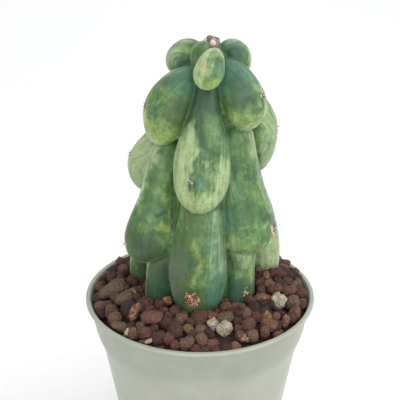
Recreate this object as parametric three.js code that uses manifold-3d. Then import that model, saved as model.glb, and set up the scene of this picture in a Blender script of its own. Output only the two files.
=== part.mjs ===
// A potted variegated boobie cactus: a young column of six ribs whose knobs have swollen
// into drooping pear-shaped lobes, rooted in potting mix under a bed of lava grit, in a
// round nursery pot.
//
// Millimetres, +Z up. The origin is on the table in the middle of the pot's foot.
// Azimuths are in degrees: 0 faces -Y, the front, and 90 faces +X.
import * as THREE from 'three';
import { mergeVertices } from 'three/addons/utils/BufferGeometryUtils.js';
import Module from 'manifold-3d';

const wasm = await Module();
wasm.setup();

// Driving dimensions of the pot
const POT_HEIGHT = 57;
const RIM_RADIUS = 32.5;
const LIP_WIDTH = 1.5;
const LIP_HEIGHT = 1.3;
const LIP_ROUND = 0.35;
const WALL = 1.0;
const BAND_TOP_RADIUS = 31.4;
const BAND_FOOT_RADIUS = 29.75;
const BAND_FOOT_HEIGHT = 46;
const STEP_RADIUS = 28.25;
const STEP_HEIGHT = 44.8;
const FOOT_RADIUS = 21;
const STANDING_RING_WIDTH = 2;
const STANDING_RING_DRAFT = 0.4;
const BASE_LIFT = 1.5;
const BASE_THICKNESS = 1.2;
const DRAIN_HOLES = 6;
const DRAIN_HOLE_RADIUS = 2.5;
const DRAIN_CIRCLE_RADIUS = 13.5;
const DRAIN_SLOTS = 4;
const DRAIN_SLOT_WIDTH = 5;
const DRAIN_SLOT_HEIGHT = 1.0;
const POT_SIDES = 40;
const DRAIN_HOLE_SIDES = 16;

// Fill of the pot
const CLEARANCE = 0.3;
const MIX_TOP = 47;
const GRIT_EDGE_TOP = 53.4;
const GRIT_CROWN_TOP = 57.0;
const GRIT_SLOPE_WIDTH = 15;
const GRAIN_SIZE = 6.4;
const GRAIN_SPACING = 4.5;
const GRAIN_UNEVENNESS = 0.2;
const GRAIN_SINK = 0.5;
const GRAIN_TRIES = 600;
const STONE_ROUGHNESS = 0.15;
const FILL_SIDES = 32;

// Where the stem leaves the soil, and how far the plant leans for each millimetre of height
const STEM_BASE = new THREE.Vector3(0.8, 2.5, 59.0);
const LEAN = new THREE.Vector2(0.031, 0.021);

// Stem core, as pairs of [radius, height above the soil], with the root stock below it
const STEM_CORE_RADIUS = 12.3;
const STEM_CORE = [
  [0, -25], [5, -20], [9, -10], [STEM_CORE_RADIUS, 0], [STEM_CORE_RADIUS, 15],
  [11.4, 35], [9.0, 50], [6.2, 61], [3.8, 67], [0, 69.5],
];
const CORE_SIDES = 12;

// Sections round a lobe and along its straight stretches
const LOBE_SIDES = 10;
const LOBE_TOP_RINGS = 2;
const LOBE_NECK_RINGS = 4;
const LOBE_BELLY_RINGS = 4;

// Usual form of each kind of lobe. width and depth are the belly's, neck is the neck's
// share of them, belly is where along the lobe it is widest, top is the length of the
// rounded top as a share of the whole, and swell bends the taper between neck and belly.
const LOBE_KINDS = {
  young: { width: 5.5, depth: 4.8, neck: 0.80, belly: 0.50, top: 0.35, swell: 1 },
  bud: { width: 8.2, depth: 7.8, neck: 0.79, belly: 0.51, top: 0.30, swell: 1 },
  shoulder: { width: 14.3, depth: 14.2, neck: 0.62, belly: 0.58, top: 0.22, swell: 1 },
  pear: { width: 14.4, depth: 13.8, neck: 0.50, belly: 0.68, top: 0.10, swell: 1 },
  foot: { width: 14.0, depth: 12.0, neck: 0.70, belly: 0.60, top: 0.10, swell: 1.2 },
  column: { width: 8.2, depth: 9.5, neck: 0.95, belly: 0.60, top: 0.10, swell: 1 },
};

// The six ribs, each a chain of lobes from the tip down. A path holds the neck, the belly
// and the lower end as [distance from the axis, height above the soil]. Other values
// replace those of the lobe's kind. Areoles are [along the lobe, degrees off its outer
// line, pad radius, number of spines]; old ones near the soil are bare corky scars.
const RIBS = [
  [
    { kind: 'bud', azimuth: -4, path: [[5, 67.2], [9.9, 64.6], [12.2, 58.9]],
      areoles: [[0.42, -14, 0.6, 1]] },
    { kind: 'pear', azimuth: -7, path: [[7, 66], [13.2, 42], [13, 26.3]],
      width: 14.8, depth: 13.5, neck: 0.38, belly: 0.58, swell: 1.25,
      areoles: [[0.71, -8, 0.9, 3]] },
    { kind: 'foot', azimuth: -6, path: [[11, 40], [12.8, 12], [11.5, -7.5]],
      width: 16, neck: 0.70, belly: 0.58, areoles: [[0.80, -16, 1.5, 0]] },
  ],
  [
    { kind: 'young', azimuth: 58, path: [[1.5, 68.5], [4.4, 66.7], [5, 62.8]],
      areoles: [[0.5, 0, 0.5, 1]] },
    { kind: 'shoulder', azimuth: 55, path: [[4, 63.8], [10.4, 55], [10.6, 46.4]],
      width: 14, depth: 13.4, neck: 0.66, belly: 0.56, areoles: [[0.62, 18, 0.9, 3]] },
    { kind: 'pear', azimuth: 54, path: [[10, 50], [15, 20.5], [14.3, 13.4]],
      neck: 0.55, belly: 0.76, areoles: [[0.79, 22, 1.8, 4]] },
    { kind: 'column', azimuth: 50, path: [[13, 22], [13.4, 0], [13, -9]],
      areoles: [[0.55, -8, 0.9, 0]] },
  ],
  [
    { kind: 'bud', azimuth: 112, path: [[2.5, 66.3], [7.5, 64.4], [8.5, 58.4]],
      width: 8.4, areoles: [[0.5, 0, 0.7, 2]] },
    { kind: 'pear', azimuth: 116, path: [[6, 57], [15.0, 43], [13.7, 31.5]],
      width: 14.5, depth: 12.5, neck: 0.55, belly: 0.64, areoles: [[0.66, 0, 1.2, 3]] },
    { kind: 'foot', azimuth: 114, path: [[12, 32], [17.3, 3.5], [15.2, -8]],
      width: 16, neck: 0.50, belly: 0.72, swell: 1, areoles: [[0.5, 10, 0.9, 2]] },
  ],
  [
    { kind: 'young', azimuth: 180, path: [[1.5, 68.5], [4.2, 66.7], [4.8, 62.8]],
      areoles: [[0.5, 0, 0.5, 1]] },
    { kind: 'shoulder', azimuth: 180, path: [[4, 64], [11.4, 53.4], [11.8, 43.6]],
      width: 15.6, areoles: [[0.66, 6, 0.9, 3]] },
    { kind: 'pear', azimuth: 178, path: [[10.5, 47], [16.2, 19], [15.5, 10.6]],
      width: 17, belly: 0.72, neck: 0.58, areoles: [[0.72, -10, 1.1, 4]] },
    { kind: 'column', azimuth: 178, path: [[13.5, 20], [14, 0], [13.5, -9]],
      width: 11.5, areoles: [[0.5, 0, 0.8, 0]] },
  ],
  [
    { kind: 'bud', azimuth: -118, path: [[2.5, 66.5], [7.9, 64.8], [9.2, 57.8]],
      width: 8.4, depth: 8.2, areoles: [[0.5, 0, 0.7, 2]] },
    { kind: 'pear', azimuth: -113, path: [[7, 57], [16.7, 34], [14.1, 24.5]],
      width: 15, neck: 0.48, belly: 0.72, areoles: [[0.62, 12, 0.8, 3]] },
    { kind: 'foot', azimuth: -115, path: [[12.5, 34], [15.8, 8], [14.8, -8]],
      width: 14.5, depth: 10.5, neck: 0.75, areoles: [[0.55, -8, 0.9, 0]] },
  ],
  [
    { kind: 'young', azimuth: -62, path: [[1.5, 68.7], [4.2, 66.9], [4.9, 63]],
      areoles: [[0.5, 0, 0.5, 1]] },
    { kind: 'shoulder', azimuth: -60, path: [[4, 63.5], [11.6, 53], [12.2, 43.2]],
      areoles: [[0.60, -22, 0.9, 3]] },
    { kind: 'pear', azimuth: -59, path: [[10.5, 47], [17, 18], [15.5, 9.6]],
      width: 14.8, depth: 14.5, neck: 0.54, belly: 0.74, areoles: [[0.76, -14, 0.8, 3]] },
    { kind: 'column', azimuth: -55, path: [[13.5, 20], [14, 0], [13.5, -9]],
      areoles: [] },
  ],
];

// Spines: each areole has a few short stout ones, and the growing tip has a tuft
const SPINE_TO_PAD = 1.7;
const SPINE_ROOT = 0.8;
const SPINE_RADIUS = 0.3;
const SPINE_SPREAD = 48;
const PAD_HEIGHT_SHARE = 0.7;
const TIP_TUFT_HEIGHT = 68.6;
const TIP_TUFT_RADIUS = 2.3;
const TIP_SPINES = 7;

// Pale stones that lie half sunk in the grit: [azimuth, distance from the pot's axis,
// height of the centre, half sizes along, across and up]
const PUMICE_STONES = [
  { azimuth: 16.7, distance: 23.7, height: 58.0, half: [2.1, 1.9, 2.1], turn: 25 },
  { azimuth: 8.6, distance: 21.3, height: 58.4, half: [1.5, 1.3, 1.4], turn: 70 },
  { azimuth: 66.4, distance: 23.5, height: 58.8, half: [2.4, 2.2, 2.5], turn: 10 },
];

// Even noise from a fixed seed, for the grains, the stones and the spines
let seed = 20261;
function random() {
  seed = (seed * 16807) % 2147483647;
  return seed / 2147483647;
}

function between(low, high) {
  return low + (high - low) * random();
}

// The geometry with its corners shared, so that it is one closed skin
function welded(geometry) {
  const bare = geometry.clone();
  bare.deleteAttribute('normal');
  bare.deleteAttribute('uv');
  return mergeVertices(bare, 1e-4);
}

// Turns a closed geometry into a solid that can be joined and cut
function solid(geometry) {
  const merged = welded(geometry);
  return new wasm.Manifold(new wasm.Mesh({
    numProp: 3,
    vertProperties: Float32Array.from(merged.attributes.position.array),
    triVerts: Uint32Array.from(merged.index.array),
  }));
}

// Joins a list of solids in pairs, then pairs of pairs, so no join is a long chain
function join(solids) {
  let level = solids;
  while (level.length > 1) {
    const next = [];
    for (let i = 0; i < level.length; i += 2) {
      next.push(i + 1 < level.length ? level[i].add(level[i + 1]) : level[i]);
    }
    level = next;
  }
  return level[0];
}

// Keeps the one body that matters: loose scraps go, and sealed hollows are filled
function mainBody(whole) {
  const bodies = whole.decompose();
  return bodies.reduce((best, body) => (body.volume() > best.volume() ? body : best));
}

function meshOf(name, whole, color, roughness) {
  const data = mainBody(whole).getMesh();
  const geometry = new THREE.BufferGeometry();
  const positions = new THREE.BufferAttribute(Float32Array.from(data.vertProperties), 3);
  geometry.setAttribute('position', positions);
  geometry.setIndex(new THREE.BufferAttribute(Uint32Array.from(data.triVerts), 1));
  geometry.computeVertexNormals();
  const material = new THREE.MeshStandardMaterial({ color, roughness, metalness: 0 });
  const mesh = new THREE.Mesh(geometry, material);
  mesh.name = name;
  return mesh;
}

// A solid of revolution about +Z from [radius, height] pairs, listed anticlockwise
function turned(profile, sides) {
  const points = profile.map(([radius, height]) => new THREE.Vector2(radius, height));
  const geometry = new THREE.LatheGeometry(points, sides);
  geometry.rotateX(Math.PI / 2);
  return geometry;
}

function outward(azimuth) {
  const angle = THREE.MathUtils.degToRad(azimuth);
  return new THREE.Vector3(Math.sin(angle), -Math.cos(angle), 0);
}

// The pot: a thin wall with a collar band and a rolled lip, on a slotted standing ring
function potWall(offset) {
  const lipInner = RIM_RADIUS - LIP_WIDTH;
  const top = POT_HEIGHT - LIP_HEIGHT;
  return [
    [FOOT_RADIUS - WALL - offset, BASE_LIFT + BASE_THICKNESS],
    [STEP_RADIUS - WALL - offset, STEP_HEIGHT + offset],
    [BAND_FOOT_RADIUS - WALL - offset, BAND_FOOT_HEIGHT + offset],
    [BAND_TOP_RADIUS - WALL - offset, top],
    [lipInner - offset, POT_HEIGHT - LIP_ROUND],
  ];
}

function buildPot() {
  const ringInner = FOOT_RADIUS - STANDING_RING_WIDTH;
  const underLip = POT_HEIGHT - LIP_HEIGHT;
  const inner = potWall(0).reverse();
  const profile = [
    [0, BASE_LIFT],
    [ringInner - STANDING_RING_DRAFT, BASE_LIFT],
    [ringInner, 0],
    [FOOT_RADIUS, 0],
    [STEP_RADIUS, STEP_HEIGHT],
    [BAND_FOOT_RADIUS, BAND_FOOT_HEIGHT],
    [BAND_TOP_RADIUS, underLip],
    [RIM_RADIUS - LIP_ROUND, underLip],
    [RIM_RADIUS, underLip + LIP_ROUND],
    [RIM_RADIUS, POT_HEIGHT - LIP_ROUND],
    [RIM_RADIUS - LIP_ROUND, POT_HEIGHT],
    [RIM_RADIUS - LIP_WIDTH + LIP_ROUND, POT_HEIGHT],
    ...inner,
    [0, BASE_LIFT + BASE_THICKNESS],
  ];
  const cuts = [];
  for (let i = 0; i < DRAIN_HOLES; i += 1) {
    const radius = DRAIN_HOLE_RADIUS;
    const hole = new THREE.CylinderGeometry(
      radius, radius, 4 * BASE_THICKNESS, DRAIN_HOLE_SIDES,
    );
    hole.rotateX(Math.PI / 2);
    const place = outward((360 / DRAIN_HOLES) * i).multiplyScalar(DRAIN_CIRCLE_RADIUS);
    hole.translate(place.x, place.y, BASE_LIFT + BASE_THICKNESS / 2);
    cuts.push(solid(hole));
  }
  for (let i = 0; i < DRAIN_SLOTS; i += 1) {
    const length = 2.5 * STANDING_RING_WIDTH;
    const slot = new THREE.BoxGeometry(DRAIN_SLOT_WIDTH, length, 2 * DRAIN_SLOT_HEIGHT);
    slot.translate(0, FOOT_RADIUS - STANDING_RING_WIDTH / 2, 0);
    slot.rotateZ(THREE.MathUtils.degToRad(45 + (360 / DRAIN_SLOTS) * i));
    cuts.push(solid(slot));
  }
  const pot = solid(turned(profile, POT_SIDES)).subtract(join(cuts));
  return meshOf('pot', pot, 0xb9bdab, 0.42);
}

// Leans a geometry made in the plant's own frame and sets it on the soil
function plant(geometry) {
  const place = new THREE.Matrix4();
  place.set(
    1, 0, LEAN.x, STEM_BASE.x,
    0, 1, LEAN.y, STEM_BASE.y,
    0, 0, 1, STEM_BASE.z,
    0, 0, 0, 1,
  );
  return geometry.applyMatrix4(place);
}

// The lobe's centre line, half sizes and directions. It hangs in the plane of its rib.
class Lobe {
  constructor(entry, extra) {
    Object.assign(this, LOBE_KINDS[entry.kind], entry);
    const [neck, belly, end] = this.path.map(([r, z]) => new THREE.Vector2(r, z));
    const t = this.belly;
    const middle = belly.clone()
      .addScaledVector(neck, -((1 - t) ** 2))
      .addScaledVector(end, -(t ** 2))
      .divideScalar(2 * t * (1 - t));
    this.line = new THREE.QuadraticBezierCurve(neck, middle, end);
    this.extra = extra;
    this.out = outward(this.azimuth);
    this.side = new THREE.Vector3(this.out.y, -this.out.x, 0);
  }

  // Share of the belly's size at t along the lobe: rounded top, taper, rounded end
  girth(t) {
    if (t >= this.belly) {
      return Math.sqrt(Math.max(0, 1 - ((t - this.belly) / (1 - this.belly)) ** 2));
    }
    const rise = THREE.MathUtils.smoothstep(t / this.belly, 0, 1) ** this.swell;
    const girth = this.neck + (1 - this.neck) * rise;
    const cap = t < this.top ? Math.sqrt(Math.max(0, 1 - (1 - t / this.top) ** 2)) : 1;
    return girth * cap;
  }

  // Distances along the lobe at which it has a section, closer together at both ends
  stations() {
    const list = [];
    for (let i = 0; i <= LOBE_TOP_RINGS; i += 1) {
      list.push(this.top * (1 - Math.cos((i / LOBE_TOP_RINGS) * (Math.PI / 2))));
    }
    for (let i = 1; i <= LOBE_NECK_RINGS; i += 1) {
      list.push(this.top + (this.belly - this.top) * (i / LOBE_NECK_RINGS));
    }
    for (let i = 1; i <= LOBE_BELLY_RINGS; i += 1) {
      const angle = (i / LOBE_BELLY_RINGS) * (Math.PI / 2);
      list.push(this.belly + (1 - this.belly) * Math.sin(angle));
    }
    return list;
  }

  // Centre of the section at t, and the direction that its outer line faces
  section(t) {
    const flat = this.line.getPoint(t);
    const along = this.line.getTangent(t);
    const centre = this.out.clone().multiplyScalar(flat.x).setZ(flat.y);
    const normal = this.out.clone().multiplyScalar(-along.y).setZ(along.x);
    return { centre, normal };
  }

  // A point of the skin at t, turned by an angle off the outer line
  surface(t, degrees) {
    const { centre, normal } = this.section(t);
    const angle = THREE.MathUtils.degToRad(degrees);
    const girth = this.girth(t);
    const across = Math.sin(angle) * (girth * this.width * 0.5 + this.extra);
    const outwards = Math.cos(angle) * (girth * this.depth * 0.5 + this.extra);
    const point = centre.clone().addScaledVector(this.side, -across);
    point.addScaledVector(normal, outwards);
    const facing = normal.clone().multiplyScalar(Math.cos(angle));
    facing.addScaledVector(this.side, -Math.sin(angle)).normalize();
    return { point, facing };
  }

  // A lathe turned on a unit line, then bent along the lobe's centre line
  geometry() {
    const profile = this.stations().map((t) => new THREE.Vector2(this.girth(t), t));
    const shape = new THREE.LatheGeometry(profile, LOBE_SIDES);
    const vertices = shape.attributes.position;
    for (let i = 0; i < vertices.count; i += 1) {
      const t = vertices.getY(i);
      const { centre, normal } = this.section(t);
      const girth = this.girth(t);
      const swollen = girth > 0 ? 1 / girth : 0;
      const across = vertices.getX(i) * (this.width * 0.5 + this.extra * swollen);
      const outwards = vertices.getZ(i) * (this.depth * 0.5 + this.extra * swollen);
      centre.addScaledVector(this.side, across).addScaledVector(normal, outwards);
      vertices.setXYZ(i, centre.x, centre.y, centre.z);
    }
    return shape;
  }
}

function lobesOfPlant(extra) {
  return RIBS.flat().map((entry) => new Lobe(entry, extra));
}

// A low woolly or corky pad on the skin
function padOf(lobe, [t, degrees, radius], extra) {
  const { point, facing } = lobe.surface(t, degrees);
  const pad = new THREE.SphereGeometry(radius + extra, 6, 3);
  pad.scale(1, PAD_HEIGHT_SHARE, 1);
  return standOn(pad, point, facing, radius * 0.25);
}

// The stem with its lobes and pads. extra swells it, to make the hole that it stands in.
function buildStem(extra) {
  const core = STEM_CORE.map(([r, z], i) => {
    const onAxis = r === 0;
    const lift = onAxis ? Math.sign(i - 1) * extra : 0;
    return [onAxis ? 0 : r + extra, z + lift];
  });
  const pieces = [solid(plant(turned(core, CORE_SIDES)))];
  for (const lobe of lobesOfPlant(extra)) {
    pieces.push(solid(plant(lobe.geometry())));
    for (const entry of lobe.areoles) {
      pieces.push(solid(plant(padOf(lobe, entry, extra))));
    }
  }
  return join(pieces);
}

// Turns a geometry that stands on +Y to stand on a point of the skin and face away from it
function standOn(geometry, point, facing, sink) {
  const up = new THREE.Vector3(0, 1, 0);
  geometry.applyQuaternion(new THREE.Quaternion().setFromUnitVectors(up, facing));
  geometry.translate(
    point.x - facing.x * sink,
    point.y - facing.y * sink,
    point.z - facing.z * sink,
  );
  return geometry;
}

function spine(point, facing, length) {
  const shape = new THREE.ConeGeometry(SPINE_RADIUS, length, 3);
  shape.translate(0, length / 2, 0);
  return standOn(shape, point, facing, SPINE_ROOT);
}

// The spines of one areole, which splay out round the direction that the skin faces
function spinesOf(lobe, [t, degrees, radius, count]) {
  const { point, facing } = lobe.surface(t, degrees);
  const shapes = [];
  for (let i = 0; i < count; i += 1) {
    const turn = THREE.MathUtils.degToRad((360 / count) * i + between(-25, 25));
    const spread = count > 1 ? SPINE_SPREAD + between(-12, 12) : between(0, 15);
    const splay = THREE.MathUtils.degToRad(spread);
    const aside = lobe.side.clone().applyAxisAngle(facing, turn);
    const direction = facing.clone().multiplyScalar(Math.cos(splay));
    direction.addScaledVector(aside, Math.sin(splay)).normalize();
    const length = SPINE_ROOT + radius * SPINE_TO_PAD * between(0.7, 1);
    shapes.push(spine(point, direction, length));
  }
  return shapes;
}

// The growing tip: a woolly cushion with short spines standing out of it
function growingTip() {
  const top = new THREE.Vector3(0, 0, TIP_TUFT_HEIGHT);
  const cushion = new THREE.SphereGeometry(TIP_TUFT_RADIUS, 8, 5);
  cushion.translate(top.x, top.y, top.z);
  const shapes = [cushion];
  for (let i = 0; i < TIP_SPINES; i += 1) {
    const lean = i === 0 ? 0 : between(0.35, 0.6);
    const facing = outward((360 / (TIP_SPINES - 1)) * i + between(-15, 15));
    facing.multiplyScalar(lean).setZ(1).normalize();
    const root = top.clone().addScaledVector(facing, TIP_TUFT_RADIUS * 0.8);
    shapes.push(spine(root, facing, between(1.8, 2.4)));
  }
  return shapes;
}

function buildCactus() {
  const growths = [];
  for (const lobe of lobesOfPlant(0)) {
    for (const entry of lobe.areoles) {
      growths.push(...spinesOf(lobe, entry));
    }
  }
  growths.push(...growingTip());
  const solids = growths.map((shape) => solid(plant(shape)));
  return meshOf('cactus', buildStem(0).add(join(solids)), 0x6f9361, 0.48);
}

// A rough stone: a faceted ball with uneven corners, stretched and turned at random
function stone(half, detail) {
  const shape = welded(new THREE.IcosahedronGeometry(1, detail));
  const corners = shape.attributes.position;
  for (let i = 0; i < corners.count; i += 1) {
    const corner = new THREE.Vector3().fromBufferAttribute(corners, i);
    corner.multiplyScalar(between(1 - STONE_ROUGHNESS, 1 + STONE_ROUGHNESS));
    corners.setXYZ(i, corner.x, corner.y, corner.z);
  }
  shape.scale(half[0], half[1], half[2]);
  return shape;
}

// Inner radius of the pot's band at a height, less an offset
function wallRadius(height, offset) {
  const share = (height - BAND_FOOT_HEIGHT) / (POT_HEIGHT - LIP_HEIGHT - BAND_FOOT_HEIGHT);
  const outer = THREE.MathUtils.lerp(BAND_FOOT_RADIUS, BAND_TOP_RADIUS, share);
  return outer - WALL - offset;
}

// Surface of the grit bed without its grains: highest round the stem, lower at the wall
function bedHeight(radius) {
  const outer = wallRadius(GRIT_EDGE_TOP, CLEARANCE);
  const share = THREE.MathUtils.clamp((outer - radius) / GRIT_SLOPE_WIDTH, 0, 1);
  return GRIT_EDGE_TOP + (GRIT_CROWN_TOP - GRIT_EDGE_TOP) * Math.sin(share * (Math.PI / 2));
}

// Spots for the grains: random tries that keep a fixed distance from each other
function grainSpots(innerRadius, outerRadius) {
  const spots = [];
  let misses = 0;
  while (misses < GRAIN_TRIES) {
    const radius = Math.sqrt(between(innerRadius ** 2, outerRadius ** 2));
    const angle = between(0, 2 * Math.PI);
    const spot = new THREE.Vector2(radius * Math.cos(angle), radius * Math.sin(angle));
    if (spots.some((other) => other.distanceTo(spot) < GRAIN_SPACING)) {
      misses += 1;
    } else {
      spots.push(spot);
      misses = 0;
    }
  }
  return spots;
}

function buildGrit(hole, stones) {
  const reach = wallRadius(GRIT_EDGE_TOP, CLEARANCE);
  const floor = MIX_TOP + CLEARANCE;
  const profile = [[0, floor], [wallRadius(floor, CLEARANCE), floor]];
  for (let i = 0; i <= 4; i += 1) {
    const radius = reach - GRIT_SLOPE_WIDTH * (i / 4);
    profile.push([radius, bedHeight(radius)]);
  }
  profile.push([0, GRIT_CROWN_TOP]);
  const bed = solid(turned(profile, FILL_SIDES));

  const grains = [];
  for (const spot of grainSpots(STEM_CORE_RADIUS, reach - GRAIN_SIZE / 4)) {
    const half = [0, 0, 0].map(() => between(
      (GRAIN_SIZE / 2) * (1 - GRAIN_UNEVENNESS),
      (GRAIN_SIZE / 2) * (1 + GRAIN_UNEVENNESS),
    ));
    const grain = stone(half, 0);
    grain.rotateZ(between(0, 2 * Math.PI));
    grain.rotateX(between(0, Math.PI));
    const height = bedHeight(spot.length()) + between(-GRAIN_SINK, GRAIN_SINK);
    grain.translate(spot.x, spot.y, height);
    grains.push(solid(grain));
  }
  const lipRadius = wallRadius(POT_HEIGHT - LIP_HEIGHT, CLEARANCE);
  const fence = [
    [0, floor],
    [wallRadius(floor, CLEARANCE), floor],
    [lipRadius, POT_HEIGHT - LIP_HEIGHT],
    [lipRadius, POT_HEIGHT + 2 * GRAIN_SIZE],
    [0, POT_HEIGHT + 2 * GRAIN_SIZE],
  ];
  const kept = bed.add(join(grains)).intersect(solid(turned(fence, FILL_SIDES)));
  return meshOf('lava_grit', kept.subtract(hole).subtract(stones), 0x5f463d, 0.95);
}

function buildMix(hole) {
  const wall = potWall(CLEARANCE);
  const floor = wall[0][1] + CLEARANCE;
  const profile = [[0, floor], [wall[0][0], floor], wall[1], wall[2]];
  profile.push([wallRadius(MIX_TOP, CLEARANCE), MIX_TOP], [0, MIX_TOP]);
  const mix = solid(turned(profile, FILL_SIDES)).subtract(hole);
  return meshOf('potting_mix', mix, 0x2f241d, 1.0);
}

// The same stone twice: as it is, and a little larger for the hollow that it lies in
function buildPumice() {
  const meshes = [];
  const hollows = [];
  PUMICE_STONES.forEach((entry, i) => {
    const shape = stone(entry.half, 1);
    shape.rotateZ(THREE.MathUtils.degToRad(entry.turn));
    const grow = 1 + CLEARANCE / (Math.min(...entry.half) * (1 - STONE_ROUGHNESS));
    const larger = shape.clone().scale(grow, grow, grow);
    const place = outward(entry.azimuth).multiplyScalar(entry.distance);
    shape.translate(place.x, place.y, entry.height);
    larger.translate(place.x, place.y, entry.height);
    meshes.push(meshOf(`pumice_stone_${i + 1}`, solid(shape), 0xa9a094, 0.9));
    hollows.push(solid(larger));
  });
  return { meshes, hollows: join(hollows) };
}

const stemHole = mainBody(buildStem(CLEARANCE));
const pumice = buildPumice();
const part = new THREE.Group();
part.add(buildPot());
part.add(buildMix(stemHole));
part.add(buildGrit(stemHole, pumice.hollows));
pumice.meshes.forEach((mesh) => part.add(mesh));
part.add(buildCactus());

export default part;
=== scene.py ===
# A potted variegated boobie cactus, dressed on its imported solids.
# Blender units are metres; sizes are written in millimetres and multiplied by MM.
# +Z is up, the front faces -Y, and azimuths are degrees from the front towards +X.
import math
import random

import bmesh
import bpy
import numpy as np
from mathutils import Matrix, Vector, noise
from mathutils.bvhtree import BVHTree


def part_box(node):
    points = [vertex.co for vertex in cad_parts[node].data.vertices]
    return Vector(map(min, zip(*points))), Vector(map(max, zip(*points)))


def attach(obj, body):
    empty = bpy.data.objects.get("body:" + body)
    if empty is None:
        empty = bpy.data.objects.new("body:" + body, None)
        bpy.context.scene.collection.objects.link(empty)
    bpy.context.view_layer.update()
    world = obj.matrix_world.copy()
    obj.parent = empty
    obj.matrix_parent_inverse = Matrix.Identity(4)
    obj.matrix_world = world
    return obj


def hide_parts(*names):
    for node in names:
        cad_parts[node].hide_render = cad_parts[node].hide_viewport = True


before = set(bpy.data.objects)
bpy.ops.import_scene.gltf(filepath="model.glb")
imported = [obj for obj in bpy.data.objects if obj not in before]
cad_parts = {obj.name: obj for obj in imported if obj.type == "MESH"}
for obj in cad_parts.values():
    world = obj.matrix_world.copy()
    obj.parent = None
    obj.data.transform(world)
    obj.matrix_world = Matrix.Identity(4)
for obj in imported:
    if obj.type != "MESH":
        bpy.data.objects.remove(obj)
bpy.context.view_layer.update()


# Camera, light and floor
# The camera stands where the photograph was taken from: nearly a quarter of a metre away,
# above the top of the plant and tilted down. The floor is a matt white sheet under a bright
# overcast sky, with soft windows to the right, in front and over the sheet behind.
MM = 0.001
CAMERA_PLACE = (0.0, -213.53, 177.81)
CAMERA_TILT_DOWN = 23.43
CAMERA_LENS_MM = 76.5
SENSOR_MM = 36.0
FLOOR_SIZE = 3.0
PAPER_GRAIN = 4.0
SKY_COLOUR = (0.97, 0.985, 1.0, 1.0)
SKY_STRENGTH = 0.74
# Each window: its place and the spot it faces in m, side in m, watts and colour
WINDOWS = {
    "side_window": ((0.40, -0.10, 0.46), (0, 0, 0.09), 0.55, 1.5, (1.0, 0.985, 0.96)),
    "front_window": ((-0.02, -0.62, 0.36), (0, 0, 0.09), 0.50, 1.9, (1.0, 1.0, 1.0)),
    "back_window": ((0.0, 1.0, 0.9), (0, 0.95, 0), 1.0, 3.0, (1.0, 1.0, 1.0)),
}


def linear(hex_colour):
    """An sRGB hex colour as linear red, green, blue and alpha."""
    channels = [int(hex_colour[i:i + 2], 16) / 255 for i in (1, 3, 5)]
    curve = [c / 12.92 if c <= 0.04045 else ((c + 0.055) / 1.055) ** 2.4 for c in channels]
    return (*curve, 1.0)


def feed(tree, node, inputs):
    """Sets or links a node's inputs. A node as the value stands for its first live output."""
    for key, value in inputs.items():
        if isinstance(value, bpy.types.Node):
            value = next(socket for socket in value.outputs if socket.enabled)
        if isinstance(value, bpy.types.NodeSocket):
            tree.links.new(value, node.inputs[key])
        else:
            node.inputs[key].default_value = value


def add_node(tree, kind, *values, stops=(), **named):
    """Adds a node. A name in small letters is a setting, and one with a capital is an input.
    Values without a name go in order to the inputs that the settings leave live."""
    if not kind.startswith(("Geometry", "Function", "NodeGroup")):
        kind = "ShaderNode" + kind
    node = tree.nodes.new(kind)
    inputs = {}
    for key, value in named.items():
        if key[0].islower():
            setattr(node, key, value)
        else:
            inputs[key.replace("_", " ")] = value
    live = (i for i, socket in enumerate(node.inputs) if socket.enabled)
    inputs.update(zip(live, values))
    feed(tree, node, inputs)
    if stops:
        ramp = node.color_ramp
        while len(ramp.elements) < len(stops):
            ramp.elements.new(1.0)
        for element, (place, colour) in zip(ramp.elements, stops):
            element.position = place
            element.color = linear(colour) if isinstance(colour, str) else (colour,) * 3 + (1,)
    return node


class Finish:
    """A material: a Principled shader on its output, and the nodes that feed it."""

    def __init__(self, name, **shader_inputs):
        self.material = bpy.data.materials.new(name)
        self.material.use_nodes = True
        self.tree = self.material.node_tree
        self.tree.nodes.clear()
        self.shader = self.add("BsdfPrincipled", **shader_inputs)
        self.add("OutputMaterial", Surface=self.shader)
        self.place = self.add("TexCoord").outputs["Object"]

    def add(self, kind, *values, **named):
        return add_node(self.tree, kind, *values, **named)

    def join(self, **inputs):
        """Feeds nodes to the shader."""
        feed(self.tree, self.shader, {k.replace("_", " "): v for k, v in inputs.items()})


def new_object(name, data, material=None):
    piece = bpy.data.objects.new(name, data)
    bpy.context.scene.collection.objects.link(piece)
    if material:
        data.materials.append(material)
    return piece


# Matt white paper: a little grain, no gloss
paper = Finish("white_paper", Roughness=0.9)
paper_grain = paper.add(
    "TexNoise", Vector=paper.place, Scale=1 / (PAPER_GRAIN * MM), Detail=3.0)
paper.join(Base_Color=paper.add(
    "ValToRGB", paper_grain, stops=[(0.3, "#fafaf9"), (0.7, "#fdfdfc")]))

half = FLOOR_SIZE / 2
floor_mesh = bpy.data.meshes.new("floor")
floor_mesh.from_pydata(
    [(-half, -half, 0), (half, -half, 0), (half, half, 0), (-half, half, 0)],
    [], [(0, 1, 2, 3)])
floor = new_object("floor", floor_mesh, paper.material)

camera_data = bpy.data.cameras.new("camera")
camera_data.lens = CAMERA_LENS_MM
camera_data.sensor_width = SENSOR_MM
camera = new_object("camera", camera_data)
camera.location = Vector(CAMERA_PLACE) * MM
camera.rotation_euler = (math.radians(90 - CAMERA_TILT_DOWN), 0, 0)
bpy.context.scene.camera = camera

for name, (place, aim, side, watts, tint) in WINDOWS.items():
    window_data = bpy.data.lights.new(name, "AREA")
    window_data.energy = watts
    window_data.size = side
    window_data.color = tint
    window = new_object(name, window_data)
    window.location = place
    window.rotation_euler = (Vector(aim) - Vector(place)).to_track_quat("-Z", "Y").to_euler()

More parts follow.
